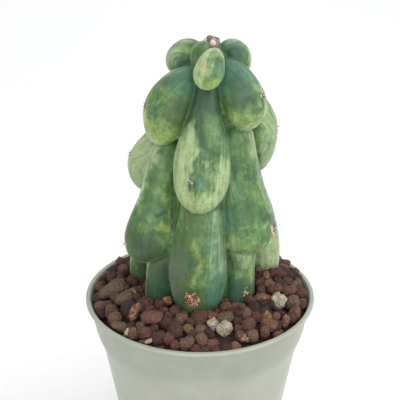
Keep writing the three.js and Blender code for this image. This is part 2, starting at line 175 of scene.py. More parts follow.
sky = bpy.data.worlds.new("sky")
sky.use_nodes = True
sky_background = sky.node_tree.nodes["Background"]
sky_background.inputs["Color"].default_value = SKY_COLOUR
sky_background.inputs["Strength"].default_value = SKY_STRENGTH
bpy.context.scene.world = sky
bpy.context.scene.view_settings.view_transform = "Standard"


# Pot
# A thin nursery pot, injection-moulded in one piece from pale grey-green polypropylene:
# a tapering wall, a step, a collar band, a rolled lip, and a base with drain holes on a
# slotted standing ring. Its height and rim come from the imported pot.
pot_low, pot_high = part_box("pot")
POT_HEIGHT = (pot_high.z - pot_low.z) / MM
RIM_RADIUS = pot_high.x / MM
LIP_WIDTH = 1.15
LIP_HEIGHT = 0.9
WALL = 0.7
BAND_TOP_RADIUS = 31.4
BAND_FOOT_RADIUS = 29.9
BAND_FOOT_HEIGHT = 47.2
STEP_RADIUS = 28.1
STEP_HEIGHT = 42.6
FOOT_RADIUS = 21.0
RING_WIDTH = 2.0
BASE_LIFT = 1.5
BASE_THICKNESS = 1.2
GATE_RADIUS = 1.6
GATE_HEIGHT = 0.35
DRAIN_HOLES = 6
DRAIN_HOLE_RADIUS = 2.5
DRAIN_CIRCLE_RADIUS = 13.5
DRAIN_SLOTS = 4
DRAIN_SLOT_WIDTH = 5.0
DRAIN_SLOT_HEIGHT = 1.0
POT_SEGMENTS = 144
HOLE_SEGMENTS = 40
SHARP_ANGLE = 35
FLOW_MARK = 14.0
SPARK = 0.35


def outward(azimuth):
    angle = math.radians(azimuth)
    return Vector((math.sin(angle), -math.cos(angle), 0.0))


def filleted(corners, steps=6):
    """A profile whose corners, given as (radius, height, fillet), are rounded off."""
    profile = []
    for i, (r, z, fillet) in enumerate(corners):
        corner = Vector((r, z))
        if fillet == 0:
            profile.append(corner)
            continue
        before = Vector(corners[i - 1][:2]) - corner
        after = Vector(corners[i + 1][:2]) - corner
        start = corner + before.normalized() * min(fillet, before.length * 0.45)
        end = corner + after.normalized() * min(fillet, after.length * 0.45)
        for step in range(steps + 1):
            t = step / steps
            profile.append(start * (1 - t) ** 2 + corner * (2 * t * (1 - t)) + end * t ** 2)
    return profile


def turned(name, profile, segments):
    """A closed mesh of revolution about +Z from a profile that starts and ends on it."""
    shape = bmesh.new()
    rings = []
    for point in profile:
        if point.x < 1e-6:
            rings.append([shape.verts.new((0, 0, point.y * MM))] * segments)
            continue
        rings.append([
            shape.verts.new(tuple(
                (outward(360 * i / segments) * point.x + Vector((0, 0, point.y))) * MM))
            for i in range(segments)])
    for lower, upper in zip(rings, rings[1:]):
        for i in range(segments):
            j = (i + 1) % segments
            corners = []
            for vert in (lower[i], lower[j], upper[j], upper[i]):
                if vert not in corners:
                    corners.append(vert)
            if len(corners) > 2:
                shape.faces.new(corners)
    bmesh.ops.recalc_face_normals(shape, faces=shape.faces)
    mesh = bpy.data.meshes.new(name)
    shape.to_mesh(mesh)
    shape.free()
    return mesh


def baked(piece, name):
    """The piece's mesh with its modifiers applied, in place of the piece's own mesh."""
    graph = bpy.context.evaluated_depsgraph_get()
    mesh = bpy.data.meshes.new_from_object(piece.evaluated_get(graph))
    mesh.name = name
    piece.modifiers.clear()
    piece.data = mesh
    return mesh


under_lip = POT_HEIGHT - LIP_HEIGHT
ring_inner = FOOT_RADIUS - RING_WIDTH
base_top = BASE_LIFT + BASE_THICKNESS
pot_corners = [
    (0, BASE_LIFT - GATE_HEIGHT, 0),
    (GATE_RADIUS - 0.3, BASE_LIFT - GATE_HEIGHT, 0.2),
    (GATE_RADIUS, BASE_LIFT, 0.2),
    (ring_inner - 0.4, BASE_LIFT, 0.5),
    (ring_inner, 0, 0.25),
    (FOOT_RADIUS, 0, 0.5),
    (STEP_RADIUS, STEP_HEIGHT, 2.2),
    (BAND_FOOT_RADIUS, BAND_FOOT_HEIGHT, 2.2),
    (BAND_TOP_RADIUS, under_lip, 0.4),
    (RIM_RADIUS, under_lip, 0.25),
    (RIM_RADIUS, POT_HEIGHT, 0.35),
    (RIM_RADIUS - LIP_WIDTH, POT_HEIGHT, 0.35),
    (BAND_TOP_RADIUS - WALL, under_lip - 0.4, 0.6),
    (BAND_FOOT_RADIUS - WALL, BAND_FOOT_HEIGHT, 0.7),
    (STEP_RADIUS - WALL, STEP_HEIGHT, 0.7),
    (FOOT_RADIUS - WALL, base_top, 0.8),
    (0, base_top, 0),
]
pot = new_object("pot_shell", turned("pot_shell", filleted(pot_corners), POT_SEGMENTS))

cutter_shape = bmesh.new()
for i in range(DRAIN_HOLES):
    place = outward(360 / DRAIN_HOLES * i) * DRAIN_CIRCLE_RADIUS * MM
    bmesh.ops.create_cone(
        cutter_shape, cap_ends=True, segments=HOLE_SEGMENTS,
        radius1=DRAIN_HOLE_RADIUS * MM, radius2=DRAIN_HOLE_RADIUS * MM,
        depth=5 * BASE_THICKNESS * MM,
        matrix=Matrix.Translation((place.x, place.y, BASE_LIFT * MM)))
for i in range(DRAIN_SLOTS):
    turn = Matrix.Rotation(math.radians(45 + 360 / DRAIN_SLOTS * i), 4, "Z")
    reach = Matrix.Translation((0, (FOOT_RADIUS - RING_WIDTH / 2) * MM, 0))
    size = Matrix.Diagonal((
        DRAIN_SLOT_WIDTH * MM, 2.5 * RING_WIDTH * MM, 2 * DRAIN_SLOT_HEIGHT * MM, 1))
    bmesh.ops.create_cube(cutter_shape, size=1.0, matrix=turn @ reach @ size)
cutter_mesh = bpy.data.meshes.new("drain_cutter")
cutter_shape.to_mesh(cutter_mesh)
cutter_shape.free()
cutter = new_object("drain_cutter", cutter_mesh)
drains = pot.modifiers.new("drains", "BOOLEAN")
drains.operation = "DIFFERENCE"
drains.solver = "EXACT"
drains.object = cutter
baked(pot, "pot_shell")
bpy.data.objects.remove(cutter)

# Injection-moulded polypropylene: slightly waxy and see-through at its edges, semi-matt
# from a fine spark texture, with faint cloudy flow marks, painted light and shade at the
# lip and painted light on the lower body
plastic = Finish(
    "moulded_polypropylene", Roughness=0.36, IOR=1.49, Subsurface_Weight=0.2,
    Subsurface_Radius=(0.9, 0.9, 0.8), Subsurface_Scale=1.0 * MM)
flow_marks = plastic.add(
    "TexNoise", Vector=plastic.place, Scale=1 / (FLOW_MARK * MM), Detail=5.0, Roughness=0.6)
flow_tone = plastic.add(
    "ValToRGB", flow_marks, stops=[(0.30, "#8f9386"), (0.52, "#979b8e"), (0.75, "#a1a598")])
# Painted light and shade: the free lip is painted lighter, for the light that passes
# through it, and a narrow band just under it is painted darker, for the shade in the corner
# under the lip
height = plastic.add("SeparateXYZ", plastic.place).outputs["Z"]
lip_share = plastic.add(
    "MapRange", height, From_Min=(under_lip - 0.9) * MM, From_Max=(under_lip + 0.4) * MM)
lip_light_and_shade = plastic.add(
    "ValToRGB", lip_share, stops=[(0.0, 1.0), (0.4, 0.86), (0.62, 0.80), (0.8, 1.20)])
# Painted light: below the step the body is painted lighter, for the light that the
# thinner wall lets through
body_painted_light = plastic.add(
    "MapRange", height, From_Min=STEP_HEIGHT * MM, From_Max=BAND_FOOT_HEIGHT * MM,
    To_Min=1.16, To_Max=1.0)
spark = plastic.add("TexNoise", Vector=plastic.place, Scale=1 / (SPARK * MM), Detail=2.0)
shaded = plastic.add(
    "Mix", 1.0, flow_tone, lip_light_and_shade, data_type="RGBA", blend_type="MULTIPLY")
plastic.join(
    Base_Color=plastic.add("VectorMath", shaded, operation="SCALE", Scale=body_painted_light),
    Roughness=plastic.add("MapRange", flow_marks, To_Min=0.30, To_Max=0.42),
    Normal=plastic.add("Bump", Height=spark, Strength=0.08, Distance=0.05 * MM))
pot.data.materials.append(plastic.material)
pot.data.shade_smooth()
pot.data.set_sharp_from_angle(angle=math.radians(SHARP_ANGLE))
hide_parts("pot")
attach(pot, "root")


# Potting mix
# Composted bark and peat that fills the pot below the grit. Only the drain holes show it,
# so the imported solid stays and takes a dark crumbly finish.
CRUMB = 1.8
mix = Finish("bark_and_peat", Roughness=0.95)
crumbs = mix.add("TexVoronoi", Vector=mix.place, Scale=1 / (CRUMB * MM))
mix.join(
    Base_Color=mix.add("ValToRGB", crumbs.outputs["Color"],
                       stops=[(0.2, "#1d140e"), (0.6, "#3a2a1e"), (0.9, "#59432f")]),
    Normal=mix.add("Bump", Height=crumbs.outputs["Distance"], Strength=0.8,
                   Distance=0.6 * MM))
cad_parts["potting_mix"].data.materials.clear()
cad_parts["potting_mix"].data.materials.append(mix.material)


# Cactus skin
# The plant grew as one body: a stem whose six ribs have swollen into chains of drooping
# pear-shaped lobes. Each lobe is turned on a line and bent along its rib; the lobes and
# the stem are then welded into one skin, softened, and wrinkled along their length.
STEM_BASE = np.array([0.8, 2.5, 59.0])
LEAN = np.array([0.031, 0.021, 0.0])
STEM_CORE = [
    (0, -25), (5, -20), (9, -10), (13.2, 0), (13.6, 15),
    (12.8, 35), (9.8, 50), (6.2, 61), (3.8, 67), (0, 69.5),
]
LOBE_SIDES = 40
LOBE_STATIONS = (7, 22, 16)
LOBE_SAMPLES = 121
SKIN_VOXEL = 0.47
SKIN_SMOOTHING = 2
GROOVE_DEPTH = 0.4
GROOVE_WIDTH = 0.7
SHADE_WIDTH = 0.42
FREE_END = (0.80, 0.92)
SWELL_HEIGHT = 0.26
SWELL_WIDTH = 8.0
RIPPLE_HEIGHT = 0.09
RIPPLE_WIDTH = 1.5
RIPPLE_LENGTH = 13.0
DIMPLE_DEPTH = 0.35
DIMPLE_RADIUS = 1.3
STRAY = 2.2
STRAY_WIDTH = 6.0
BLOTCH = 5.5
CLOUD = 2.2
MOTTLE = 0.9
STREAK = (0.9, 9.0)
CRACKLE = (0.8, 1.3)

# Colours that lie over the green, from the lowest: the colour, the noises that fray its
# edge and their weights, the sums at which it starts and is full, and its full strength.
# The deep layer holds dark green stripes and lines of the skin and also painted shade, and
# the pale layer holds the cream variegation and also painted light, as marked at the lobes.
SKIN_LAYERS = {
    "bloom": ("#4e7764", {"blotch": 0.7, "cloud": 0.5}, 0.20, 1.00, 0.9),
    "olive": ("#435a30", {"blotch": 0.5, "cloud": 0.6}, 0.20, 1.00, 0.9),
    "yellow": ("#8fa555", {"cloud": 0.9, "mottle": 0.4}, 0.20, 1.00, 0.9),
    "pale": ("#a1b483", {"streak": 0.7, "cloud": 0.7}, 0.15, 0.95, 0.95),
    "deep": ("#34503a", {"streak": 0.6, "cloud": 0.6}, 0.20, 1.00, 0.9),
    "dry": ("#586650", {"streak": 0.4, "mottle": 0.8}, 0.20, 0.90, 0.85),
    "tan": ("#ad9674", {"mottle": 1.0, "cloud": 0.5}, 0.25, 0.95, 0.85),
}

# Usual form of each kind of lobe: belly width and depth, the neck's share of them, where
# along the lobe the belly is, the share that the rounded top takes, and the taper's bend
LOBE_KINDS = {
    "young": dict(width=5.5, depth=4.8, neck=0.80, belly=0.50, top=0.35, swell=1),
    "bud": dict(width=8.2, depth=7.8, neck=0.79, belly=0.51, top=0.30, swell=1),
    "shoulder": dict(width=14.3, depth=14.2, neck=0.62, belly=0.58, top=0.22, swell=1),
    "pear": dict(width=14.4, depth=13.8, neck=0.50, belly=0.68, top=0.10, swell=1),
    "foot": dict(width=14.0, depth=12.0, neck=0.70, belly=0.60, top=0.10, swell=1.2),
    "column": dict(width=8.2, depth=9.5, neck=0.95, belly=0.60, top=0.10, swell=1),
}

# Patches of those colours that the lobes of a kind have, as (from and to along the lobe,
# from and to in degrees off its outer line, width of the soft edge in mm, strength)
KIND_PAINT = {
    "young": dict(pale=[(0.0, 0.4, -180, 180, 3, 0.3)]),
    "bud": dict(bloom=[(0.0, 0.8, 20, 180, 5, 0.4)]),
    "shoulder": dict(bloom=[(0.0, 0.3, -180, 180, 3, 0.8)], yellow=[(0.76, 1.1, -180, 180, 3, 0.6)]),
    "pear": dict(yellow=[(0.8, 1.1, -180, 180, 4, 0.35)], deep=[(0.0, 0.22, -180, 180, 4, 0.4)]),
    "foot": dict(bloom=[(0.55, 1.1, -180, -40, 4, 0.5), (0.55, 1.1, 40, 180, 4, 0.5)],
                 deep=[(0.76, 1.1, -180, 180, 4, 0.6)]),
    "column": dict(deep=[(0.36, 1.1, -180, 180, 3, 0.7)]),
}

# The lobes, rib by rib from the tip down. A path holds the neck, the belly and the lower
# end as (distance from the axis, height above the soil). Areoles are (along the lobe,
# degrees off its outer line, pad radius, number of spines). Each lobe's own patches of
# colour follow, written as above.
LOBES = [
    dict(kind="bud", azimuth=-4, path=((4.6, 68.2), (11.0, 63.8), (12.0, 59.9)), width=8.1,
         neck=0.66, belly=0.58, slant=1.3, areoles=((0.46, 2, 0.3, 0),), wrinkle=0.2,
         bloom=[(0.34, 0.78, 6, 130, 5, 0.7)], olive=[(0.6, 0.84, -14, 6, 1.5, 0.9)],
         yellow=[(0.62, 1.1, -50, 90, 3, 0.75)],
         pale=[(0.0, 0.34, -180, 180, 3, 0.95), (0.28, 0.62, -180, 20, 3, 0.95),
               (0.4, 0.78, 14, 60, 5, 0.4), (0.6, 1.1, -180, -30, 3, 0.9),
               # Painted light: the pale band round the lower end stands in for light bounced up
               # under it
               (0.84, 1.1, -180, 180, 2, 0.6)],
         tan=[(0.36, 0.52, -20, 6, 2, 0.6), (0.41, 0.49, -12, 8, 1, 0.9)]),
    dict(kind="pear", azimuth=-7, path=((4.5, 65), (12.7, 40.5), (14, 27.4)), width=15.1,
         depth=13.6, neck=0.34, belly=0.56, swell=1.4, areoles=((0.665, -15, 0.45, 3),),
         wrinkle=0.5,
         bloom=[(0.0, 0.28, -180, 180, 4, 0.4), (0.24, 0.44, 30, 80, 3, 0.5),
                (0.645, 0.69, 0, 14, 1.2, 0.8)], olive=[(0.84, 1.1, -50, -20, 2, 0.4)],
         yellow=[(0.7, 1.1, -70, 40, 3, 0.6), (0.8, 1.1, -24, 20, 2, 0.7)],
         pale=[(0.2, 0.36, -50, -28, 2, 0.75), (0.29, 0.46, -70, -15, 2, 0.8),
               (0.38, 0.56, -95, -14, 2, 0.8), (0.46, 1.1, -130, -9, 1.6, 0.75),
               (0.5, 1.1, 22, 130, 5, 0.75), (0.74, 1.1, -9, 130, 3, 0.8),
               (0.7, 1.1, -9, 20, 2, 0.4), (0.5, 0.66, 3, 34, 4, 0.5),
               # Painted light: the pale band round the lower end stands in for light bounced up
               # under it
               (0.86, 1.1, -180, 180, 3, 0.7)],
         # Painted shade: the deep patch over the neck stands in for the shade of the bud above it
         deep=[(0.0, 0.3, -180, 180, 4, 0.95), (0.24, 0.46, -9, 14, 1.8, 1.0),
               (0.4, 0.66, -8, -2, 1, 0.8), (0.63, 0.66, 6, 20, 1, 0.6)],
         tan=[(0.7, 0.84, -24, -8, 2, 0.4)]),
    dict(kind="foot", azimuth=-7, path=((10.7, 39.6), (13.2, 11.4), (12, -6)), width=15.8,
         neck=0.66, belly=0.56, swell=1.8, areoles=((0.74, -7, 1.5, 0),), wrinkle=1.0,
         bloom=[(0.12, 0.62, 26, 100, 3, 0.7), (0.62, 1.1, 24, 80, 3, 0.9)],
         olive=[(0.14, 0.8, -50, 20, 3, 0.75), (0.2, 0.38, 10, 36, 3, 0.6)],
         yellow=[(0.36, 0.66, -8, 13, 2.5, 0.68), (0.0, 0.2, -60, 20, 3, 0.5)],
         pale=[(0.22, 0.56, 34, 100, 4, 0.45), (0.4, 0.6, 20, 60, 4, 0.35)],
         deep=[(0.62, 1.1, 34, 130, 3, 0.3)], dry=[(0.4, 0.8, -110, -22, 4, 0.7)]),
    dict(kind="young", azimuth=66, path=((1.5, 65), (3, 63), (3.6, 60)), areoles=(), wrinkle=0.1,
         bloom=[(0.0, 1.1, -180, 180, 3, 0.8)], deep=[(0.45, 1.1, -180, 180, 3, 0.8)]),
    dict(kind="shoulder", azimuth=55, path=((3.4, 64.7), (10.6, 54.9), (10.8, 47.9)), width=12.5,
         depth=11.4, neck=0.65, belly=0.56, areoles=((0.54, 3, 0.42, 3),), wrinkle=0.3,
         bloom=[(0.0, 0.36, -140, 30, 3, 1.0), (0.3, 0.52, -60, 0, 3, 0.7),
                (0.5, 0.6, -30, -10, 2, 0.9)], olive=[(0.4, 0.6, -130, -50, 3, 0.7)],
         yellow=[(0.58, 0.74, -140, -62, 3, 0.6), (0.66, 1.1, -140, -50, 3, 0.75),
                 (0.66, 1.1, -80, 20, 3, 0.6)],
         pale=[(0.7, 1.1, -140, -50, 3, 0.4), (0.6, 0.72, -18, 10, 2, 0.5),
               (0.86, 1.1, -90, 30, 3, 0.8), (0.3, 0.9, -12, 40, 3, 0.5)],
         deep=[(0.2, 0.6, -74, -10, 3, 0.7), (0.46, 0.64, -62, -22, 2.5, 0.9)]),
    dict(kind="pear", azimuth=51, path=((9.0, 49.7), (15.3, 19.5), (16.0, 14.5)), width=16.9,
         depth=13.3, neck=0.58, belly=0.8, swell=1.8, areoles=((0.76, 16, 0.8, 4),), wrinkle=0.7,
         bloom=[(0.08, 0.7, -150, -72, 4, 0.75), (0.52, 0.62, -84, -40, 3, 0.5),
                (0.72, 0.78, -20, 8, 1.5, 0.5)], olive=[(0.66, 0.84, -70, -40, 3, 0.5)],
         yellow=[(0.2, 0.5, -50, 4, 6, 0.45), (0.62, 0.92, -80, -20, 4, 0.3)],
         pale=[(0.14, 0.56, -150, -80, 4, 0.5), (0.0, 0.2, -18, 60, 2, 0.7),
               (0.12, 0.66, 2, 60, 2, 0.45), (0.74, 1.1, -110, -70, 4, 0.5),
               (0.68, 0.74, -18, 10, 1.5, 0.6), (0.86, 1.1, -80, 30, 3, 0.4)],
         deep=[(0.46, 0.62, -84, -22, 3, 0.6), (0.3, 0.46, -70, -52, 2, 0.6)]),
    dict(kind="column", azimuth=47.5, path=((13, 22), (13.2, 0), (13, -9)),
         areoles=((0.55, -8, 0.9, 0),), wrinkle=0.8,
         bloom=[(0.0, 0.34, -140, -70, 6, 0.5), (0.36, 1.1, -130, -30, 3, 1.0)],
         olive=[(0.3, 0.6, -40, 40, 3, 0.6)],
         pale=[(0.0, 0.32, -140, 30, 9, 0.65), (0.0, 0.44, -24, 8, 2, 0.45),
               (0.4, 0.56, -20, 4, 1.5, 0.6)]),
    dict(kind="bud", azimuth=103, path=((1.7, 66.2), (6.7, 65.0), (7.2, 58.9)), width=8.9,
         depth=7.6, areoles=((0.5, 0, 0.4, 0),), wrinkle=0.2,
         bloom=[(0.0, 0.5, -180, 40, 4, 1.0)],
         pale=[(0.46, 1.1, -76, 30, 3, 0.7), (0.14, 0.5, -30, 20, 2, 0.6)],
         deep=[(0.0, 0.46, -180, -46, 3, 0.9)]),
    dict(kind="pear", azimuth=116, path=((6, 57), (14.4, 42.5), (13.3, 30.5)), width=14.5,
         depth=12.5, neck=0.55, belly=0.64, areoles=((0.62, -20, 0.6, 2),), wrinkle=0.4,
         bloom=[(0.3, 0.9, -110, -70, 3, 0.5)], yellow=[(0.3, 0.8, 20, 80, 4, 0.5)],
         pale=[(0.3, 1.0, -110, -30, 3, 0.6)], tan=[(0.44, 0.74, -36, -24, 1.2, 0.8)]),
    dict(kind="foot", azimuth=114, path=((12, 32), (17.3, 3.5), (15.2, -8)), width=16, neck=0.5,
         belly=0.72, swell=1, areoles=((0.5, 10, 0.8, 2),), wrinkle=0.6,
         bloom=[(0.3, 0.8, -130, -60, 4, 0.5)], pale=[(0.3, 0.78, -140, -30, 4, 0.75)]),
    dict(kind="young", azimuth=180, path=((1.5, 68.5), (4.2, 66.7), (4.8, 62.8)),
         areoles=((0.5, 0, 0.4, 1),), wrinkle=0.1),
    dict(kind="shoulder", azimuth=180, path=((4, 64), (11.4, 53.4), (11.8, 43.6)), width=15.6,
         areoles=((0.66, 6, 0.6, 3),), wrinkle=0.3,
         olive=[(0.4, 0.9, -90, -20, 4, 0.6)], pale=[(0.4, 1.0, 8, 80, 2.5, 0.7)],
         deep=[(0.3, 0.7, -8, 8, 2, 0.6)]),
    dict(kind="pear", azimuth=178, path=((10.5, 47), (16.2, 19), (15.5, 10.6)), width=17,
         belly=0.72, neck=0.58, areoles=((0.72, -10, 0.8, 4),), wrinkle=0.6,
         bloom=[(0.3, 0.7, 20, 60, 3, 0.7)], olive=[(0.6, 1.1, -180, 180, 4, 0.6)],
         yellow=[(0.4, 0.7, -40, 10, 3, 0.5)], pale=[(0.2, 0.8, -90, -50, 3, 0.7)]),
    dict(kind="column", azimuth=178, path=((13.5, 20), (14, 0), (13.5, -9)), width=11.5,
         areoles=((0.5, 0, 0.8, 0),), wrinkle=0.8,
         pale=[(0.0, 0.5, -60, -20, 2.5, 0.5)]),
    dict(kind="bud", azimuth=-118, path=((2.4, 66.4), (8.5, 64.2), (8.9, 59.4)), width=8.8,
         depth=8.2, neck=0.84, areoles=((0.5, 0, 0.4, 0),), wrinkle=0.2,
         bloom=[(0.2, 0.9, 84, 170, 3, 0.9), (0.3, 0.9, 40, 90, 3, 0.5)],
         pale=[(0.1, 1.1, 10, 92, 4, 0.6), (0.2, 0.9, 116, 180, 3, 0.5)],
         tan=[(0.1, 0.35, 10, 40, 3, 0.25)]),
    dict(kind="pear", azimuth=-115, path=((7.0, 51.3), (17.5, 33), (12.5, 26)), width=13.6,
         depth=12.9, neck=0.39, belly=0.65, swell=3.2, areoles=((0.54, 34, 0.4, 3),), wrinkle=0.4,
         bloom=[(0.0, 1.1, 10, 130, 4, 0.9)], pale=[(0.0, 1.1, 10, 130, 2.5, 0.8)],
         deep=[(0.5, 0.9, -60, -10, 3, 0.5)]),
    dict(kind="foot", azimuth=-112, path=((12.5, 34), (17.0, 5), (17.0, -12)), width=14.5,
         depth=10.5, neck=0.75, areoles=((0.55, -8, 0.9, 0),), wrinkle=0.8,
         olive=[(0.4, 0.9, 0, 130, 4, 0.9)], yellow=[(0.44, 0.72, 10, 90, 3, 0.4)],
         pale=[(0.3, 0.6, 10, 90, 3, 0.5)]),
    dict(kind="young", azimuth=-34, path=((1.5, 68.7), (4.4, 66.9), (5.2, 62.6)), width=5.8,
         areoles=(), wrinkle=0.1,
         bloom=[(0.6, 1.1, -60, 60, 2, 0.6)], olive=[(0.2, 1.1, -20, 120, 3, 0.6)],
         pale=[(0.1, 0.8, -60, -24, 1.5, 0.6)], deep=[(0.2, 1.1, 30, 120, 2, 0.8)]),
    dict(kind="shoulder", azimuth=-61, path=((4.7, 62.8), (12.5, 52.8), (13.1, 43.2)), width=13.4,
         depth=11.7, neck=0.54, belly=0.55, swell=0.7, areoles=((0.56, -6, 0.42, 3),), wrinkle=0.3,
         bloom=[(0.54, 0.66, 10, 32, 2, 0.9)], olive=[(0.3, 0.74, 46, 130, 4, 0.95)],
         yellow=[(0.66, 1.1, 0, 120, 3, 0.65)],
         pale=[(0.12, 0.26, -40, 10, 3, 0.6), (0.38, 0.5, 20, 34, 2, 0.55),
               (0.6, 0.8, -60, 8, 2.5, 0.8), (0.84, 1.1, -60, 80, 3, 0.7)],
         deep=[(0.14, 0.4, 12, 34, 3, 0.5), (0.58, 0.68, 22, 38, 2, 0.8),
               (0.38, 0.6, 56, 96, 4, 0.7)], tan=[(0.46, 0.6, -18, 8, 2, 0.5)]),
    dict(kind="pear", azimuth=-59, path=((11.6, 46.2), (17.1, 18.2), (17.2, 11.5)), width=12.9,
         depth=14.6, neck=0.6, belly=0.68, swell=2.3, areoles=((0.74, -10, 0.5, 2),), wrinkle=0.6,
         bloom=[(0.3, 0.5, 52, 76, 3, 0.5), (0.7, 0.8, 5, 24, 2, 0.7),
                (0.38, 0.44, 62, 104, 1.2, 0.8)],
         olive=[(0.48, 0.58, -20, 84, 3, 0.5), (0.54, 1.1, -20, 84, 4, 1.0)],
         yellow=[(0.5, 0.57, 78, 112, 1.5, 0.8)],
         pale=[(0.0, 0.14, -80, 44, 3, 1.0), (0.1, 0.46, -80, 8, 3, 0.8),
               (0.2, 0.62, 92, 150, 3, 0.4)],
         # Painted shade: the deep patch from 0.6 along to the end darkens the lower end for shade
         deep=[(0.12, 0.46, 26, 56, 3, 0.7), (0.3, 0.48, 8, 30, 3, 0.6),
               (0.6, 1.1, 20, 76, 4, 0.85), (0.42, 0.46, 66, 88, 0.6, 1.0),
               (0.4, 0.44, 82, 106, 0.6, 1.0)]),
    dict(kind="column", azimuth=-55, path=((13.5, 20), (14, 0), (13.5, -9)), areoles=(),
         wrinkle=0.8,
         olive=[(0.1, 0.9, -80, 80, 3, 1.0)], pale=[(0.2, 0.66, -44, 4, 2, 0.7)],
         # Painted shade: the deep patches on the right of this neck stand in for the shade there
         deep=[(0.2, 1.1, 40, 140, 4, 1.0), (0.3, 1.1, 60, 140, 3, 1.0)],
         tan=[(0.3, 0.66, -44, 6, 2, 0.6)]),
]


def planted(points):
    """Points of the plant's own frame, leaned and set on the soil, in metres."""
    points = np.asarray(points, float)
    return (points + points[..., 2:3] * LEAN + STEM_BASE) * MM


class Lobe:
    """One drooping lobe. It hangs in the plane of its rib from a bent centre line."""

    def __init__(self, entry):
        self.form = {**LOBE_KINDS[entry["kind"]], **entry}
        neck, belly, end = (np.array(point, float) for point in entry["path"])
        t = self.form["belly"]
        middle = (belly - (1 - t) ** 2 * neck - t ** 2 * end) / (2 * t * (1 - t))
        self.line = (neck, middle, end)
        self.out = np.array(outward(entry["azimuth"]))
        self.right = np.array([-self.out[1], self.out[0], 0.0])

    def girth(self, t):
        """Share of the belly's size: rounded top, taper, rounded end."""
        form = self.form
        rise = np.clip(t / form["belly"], 0, 1)
        rise = (rise * rise * (3 - 2 * rise)) ** form["swell"]
        top = np.clip(t / form["top"], 0, 1)
        upper = (form["neck"] + (1 - form["neck"]) * rise) * np.sqrt(1 - (1 - top) ** 2)
        below = np.clip((t - form["belly"]) / (1 - form["belly"]), 0, 1)
        return np.where(t >= form["belly"], np.sqrt(1 - below ** 2), upper)

    def section(self, t):
        """Centre of each section, and the direction that its outer line faces."""
        t = np.asarray(t, float)[:, None]
        a, b, c = self.line
        flat = (1 - t) ** 2 * a + 2 * t * (1 - t) * b + t ** 2 * c
        along = (1 - t) * (b - a) + t * (c - b)
        along /= np.linalg.norm(along, axis=1, keepdims=True)
        up = np.array([0, 0, 1.0])
        centre = flat[:, :1] * self.out + flat[:, 1:] * up
        centre = centre + self.form.get("slant", 0.0) * (1 - t) ** 2 * self.right
        return centre, -along[:, 1:] * self.out + along[:, :1] * up

    def surface(self, t, degrees):
        """A point of the skin and the direction it faces, in the plant's frame."""
        centre, normal = self.section([t])
        angle = math.radians(degrees)
        girth = float(self.girth(np.array([t]))[0])
        across = math.sin(angle) * girth * self.form["width"] / 2
        outwards = math.cos(angle) * girth * self.form["depth"] / 2
        point = centre[0] + self.right * across + normal[0] * outwards
        return point, normal[0] * math.cos(angle) + self.right * math.sin(angle)

    def shell(self):
        """The lobe's closed skin as points and faces."""
        top, neck, belly = LOBE_STATIONS
        form = self.form
        t = np.concatenate([
            form["top"] * (1 - np.cos(np.linspace(0, math.pi / 2, top + 1)[1:])),
            np.linspace(form["top"], form["belly"], neck + 1)[1:],
            form["belly"] + (1 - form["belly"]) * np.sin(
                np.linspace(0, math.pi / 2, belly + 1)[1:-1])])
        centre, normal = self.section(t)
        girth = self.girth(t)[:, None, None]
        angle = np.linspace(0, 2 * math.pi, LOBE_SIDES, endpoint=False)[None, :, None]
        rings = centre[:, None] + girth * (
            np.sin(angle) * self.right * form["width"] / 2
            + np.cos(angle) * normal[:, None] * form["depth"] / 2)
        ends, _ = self.section([0, 1])
        shell_points = np.vstack([ends[:1], rings.reshape(-1, 3), ends[1:]])
        return shell_points, ring_faces(len(t), LOBE_SIDES)


def ring_faces(rings, sides):
    """Faces of a skin whose points are a top pole, rings of points and a bottom pole."""
    faces = []
    last = 1 + rings * sides
    for j in range(sides):
        k = (j + 1) % sides
        faces.append((0, 1 + k, 1 + j))
        for i in range(rings - 1):
            upper = 1 + i * sides
            lower = upper + sides
            faces.append((upper + j, upper + k, lower + k, lower + j))
        faces.append((last, last - sides + j, last - sides + k))
    return faces


def stem_shell():
    """The tapering stem inside the lobes, with its root stock, as points and faces."""
    profile = STEM_CORE[::-1]
    angle = np.linspace(0, 2 * math.pi, LOBE_SIDES, endpoint=False)
    around = np.stack([-np.sin(angle), np.cos(angle), 0 * angle], 1)
    rings = [r * around + np.array([0, 0, z]) for r, z in profile[1:-1]]
    poles = [np.array([[0, 0, z]], float) for _, z in (profile[0], profile[-1])]
    return np.vstack([poles[0], *rings, poles[1]]), ring_faces(len(rings), LOBE_SIDES)


lobes = [Lobe(entry) for entry in LOBES]
shell_parts = [*(lobe.shell() for lobe in lobes), stem_shell()]
points, faces, owners = [], [], []
for number, (shell_points, shell_faces) in enumerate(shell_parts):
    start = sum(len(block) for block in points)
    points.append(planted(shell_points))
    faces += [tuple(start + corner for corner in face) for face in shell_faces]
    owners += [number] * len(shell_faces)
points = np.vstack(points)
shells = bpy.data.meshes.new("shells")
shells.from_pydata(points.tolist(), [], faces)
skin = new_object("cactus_skin", shells)
weld = skin.modifiers.new("weld", "REMESH")
weld.mode = "VOXEL"
weld.voxel_size = SKIN_VOXEL * MM
skin_mesh = baked(skin, "cactus_skin")

# Soften the welded skin, so that neighbouring lobes meet in a rounded crease
count = len(skin_mesh.vertices)
places = np.empty(count * 3)
skin_mesh.vertices.foreach_get("co", places)
places = places.reshape(-1, 3)
edges = np.empty(len(skin_mesh.edges) * 2, int)
skin_mesh.edges.foreach_get("vertices", edges)
edges = edges.reshape(-1, 2)
neighbours = np.bincount(edges.ravel(), minlength=count)


def averaged(values):
    """The mean of each point's neighbours."""
    total = np.zeros_like(values)
    np.add.at(total, edges[:, 0], values[edges[:, 1]])
    np.add.at(total, edges[:, 1], values[edges[:, 0]])
    return (total.T / neighbours).T


for _ in range(SKIN_SMOOTHING):
    places += 0.5 * (averaged(places) - places)

